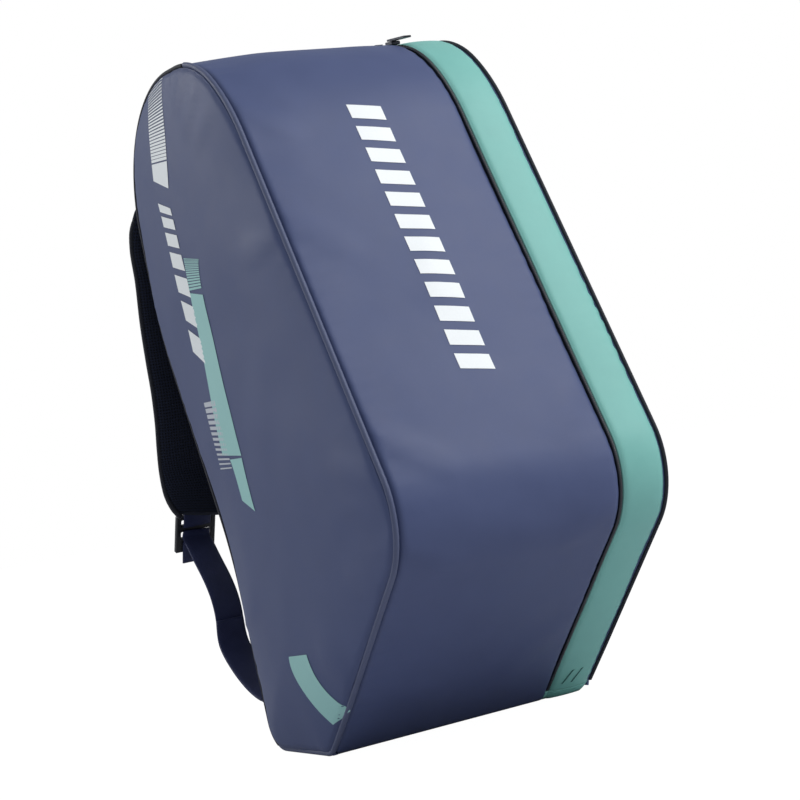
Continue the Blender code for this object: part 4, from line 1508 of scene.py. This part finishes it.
PLASTIC, tree, surface = new_material("black moulded plastic")
place = add(tree, "ShaderNodeTexCoord").outputs["Object"]
grain = add(tree, "ShaderNodeTexNoise", Scale=1800.0, Detail=2.0)
cloud = add(tree, "ShaderNodeTexNoise", Scale=90.0, Detail=3.0)
tone = add(tree, "ShaderNodeMix", data_type="RGBA")
tone.inputs["A"].default_value = (0.008, 0.009, 0.013, 1.0)
tone.inputs["B"].default_value = (0.018, 0.019, 0.025, 1.0)
raised = add(tree, "ShaderNodeBump", Strength=0.15, Distance=0.0003)
tree.links.new(place, grain.inputs["Vector"])
tree.links.new(place, cloud.inputs["Vector"])
tree.links.new(cloud.outputs["Fac"], tone.inputs["Factor"])
tree.links.new(tone.outputs["Result"], surface.inputs["Base Color"])
tree.links.new(grain.outputs["Fac"], raised.inputs["Height"])
tree.links.new(raised.outputs["Normal"], surface.inputs["Normal"])
surface.inputs["Roughness"].default_value = 0.36

for label, side in (("left", -1.0), ("right", 1.0)):
    strap = strip("strap_pad_mesh_" + label, on_side_of(STRAP_ROUTE, side), MESH, pad_section)
    sewn = [i for i in range(len(strap.data.vertices)) if i % 24 in (0, 1, 23, 11, 12, 13)]
    stuffed(strap, sewn, 0.0018)
    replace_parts(strap, "strap_pad_" + label)
    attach(strap, "bag")
    stations = smooth_route(on_side_of(STRAP_ROUTE, side))
    for edge_label, edge in (("inner", -side), ("outer", side)):
        points = [Vector((s[0] + edge * (s[3] / 2 - 0.0006), s[1], s[2])) for s in stations]
        rod(f"strap_binding_{label}_{edge_label}", points, 0.0022, BINDING, "bag")
    keeper = [(LOCK_X, 0.1864, 0.195), (LOCK_X, *lock_layer(-0.002)), (LOCK_X, *lock_layer(0.010))]
    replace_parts(web_piece("strap_keeper_web_" + label, keeper, side, WEBBING), "strap_keeper_" + label)
    web = [(LOCK_X + 0.0005 * i, *p) for i, p in enumerate(WEB_PATH)]
    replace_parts(web_piece("strap_web_" + label, web, side, WEBBING), "strap_webbing_" + label)
    tail = [(LOCK_X, *lock_layer(0.024)), (LOCK_X, *lock_layer(0.034)), (LOCK_X, 0.207, 0.148)]
    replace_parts(web_piece("strap_tail_web_" + label, tail, side, WEBBING), "strap_tail_" + label)
    tab = strip("anchor_tab_web_" + label, on_side_of(TAB_ROUTE, side), WEBBING, webbing_section)
    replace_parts(tab, "anchor_tab_" + label)
    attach(tab, "bag")
    low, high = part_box("anchor_patch_" + label)
    tape("anchor_patch_cloth_" + label, heel_end + 0.002, heel_end + 0.028, low.x, high.x, 0.0023,
         "bag", "anchor_patch_" + label, BACK_CLOTH)
    finish_node("ladder_lock_" + label, PLASTIC, 0.0006)

# The grab handle: rolled cloth over a cord, sewn into the yoke at both ends.
handle_point, handle_normal = locate(on_bend("crown_back", 30.0, 0.106))
handle_axis = handle_point + handle_normal * (0.0031 + 0.004)
HANDLE_HALF = 0.033
HANDLE_SHAPE = [(0.0, 0.0), (0.0, 0.010), (0.003, 0.018), (0.010, 0.024), (0.019, 0.026)]
reach = Matrix.Rotation(math.radians(14.0), 2) @ Vector((handle_normal.y, -handle_normal.x))
outline = [(HANDLE_HALF - a, r) for a, r in HANDLE_SHAPE]
outline += [(-x, r) for x, r in reversed(outline)]
route = [(x, *(handle_axis + reach * r), 0.0, 0.0) for x, r in outline]
points = [Vector(s[:3]) for s in smooth_route(route, 0.002)]
handle = rod("grab_handle_roll", points, 0.0040, BINDING, "handle")
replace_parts(handle, "grab_handle")

# ------------------------------------------------------------------ inside
# Black lining cloth over thin boards. A lined divider parts the racket compartment from the
# main one, and a flat pocket hangs on the divider and another on the door.

LINING = coated_cloth("black lining", (0.012, 0.014, 0.020), (0.022, 0.024, 0.034), 0.7, 0.3, 0.3, False)
LINED_BOARD = coated_cloth("lined board", (0.010, 0.011, 0.016), (0.018, 0.020, 0.028), 0.75, 0.4, 0.2, False)
for node in ("divider_panel", "front_padding"):
    finish_node(node, LINING)
for node in ("back_stiffener", "base_board", "front_board"):
    finish_node(node, LINED_BOARD)


def pocket(name, node, face, out, body):
    """A flat pocket sewn on three sides; its free top edge is bound and gapes a little."""
    low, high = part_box(node)
    depth = (high.x - low.x) * 0.9
    rows = []
    flat = []
    for z in edged(low.z, high.z, 16):
        up = (z - low.z) / (high.z - low.z)
        row = []
        places = []
        for y in edged(low.y, high.y, 16):
            to_side = min(y - low.y, high.y - y)
            swell = depth * (1 - math.exp(-to_side / 0.010)) * (0.75 + 0.25 * up)
            swell *= 1 - math.exp(-(z - low.z) / 0.008)
            swell += slack((y, z, 13.0), 0.04, 0.0015) * min(1.0, to_side / 0.02)
            row.append(Vector((face + out * max(0.0006, swell), y, z)))
            places.append((y, z))
        rows.append(row)
        flat.append(places)
    item = grid_object(name, rows, flat, LINING)
    facing(item, lambda p: Vector((out, 0.0, 0.0)))
    shell(item, 0.0010)
    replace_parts(item, node)
    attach(item, body)
    rod(name + "_binding", [p.copy() for p in rows[-1]], 0.0016, BINDING, body)
    return item


low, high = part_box("inner_pocket")
pocket("inner_pocket_cloth", "inner_pocket", low.x, 1.0, "bag")
low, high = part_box("door_pocket")
pocket("door_pocket_cloth", "door_pocket", high.x, -1.0, "door")

low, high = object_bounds()
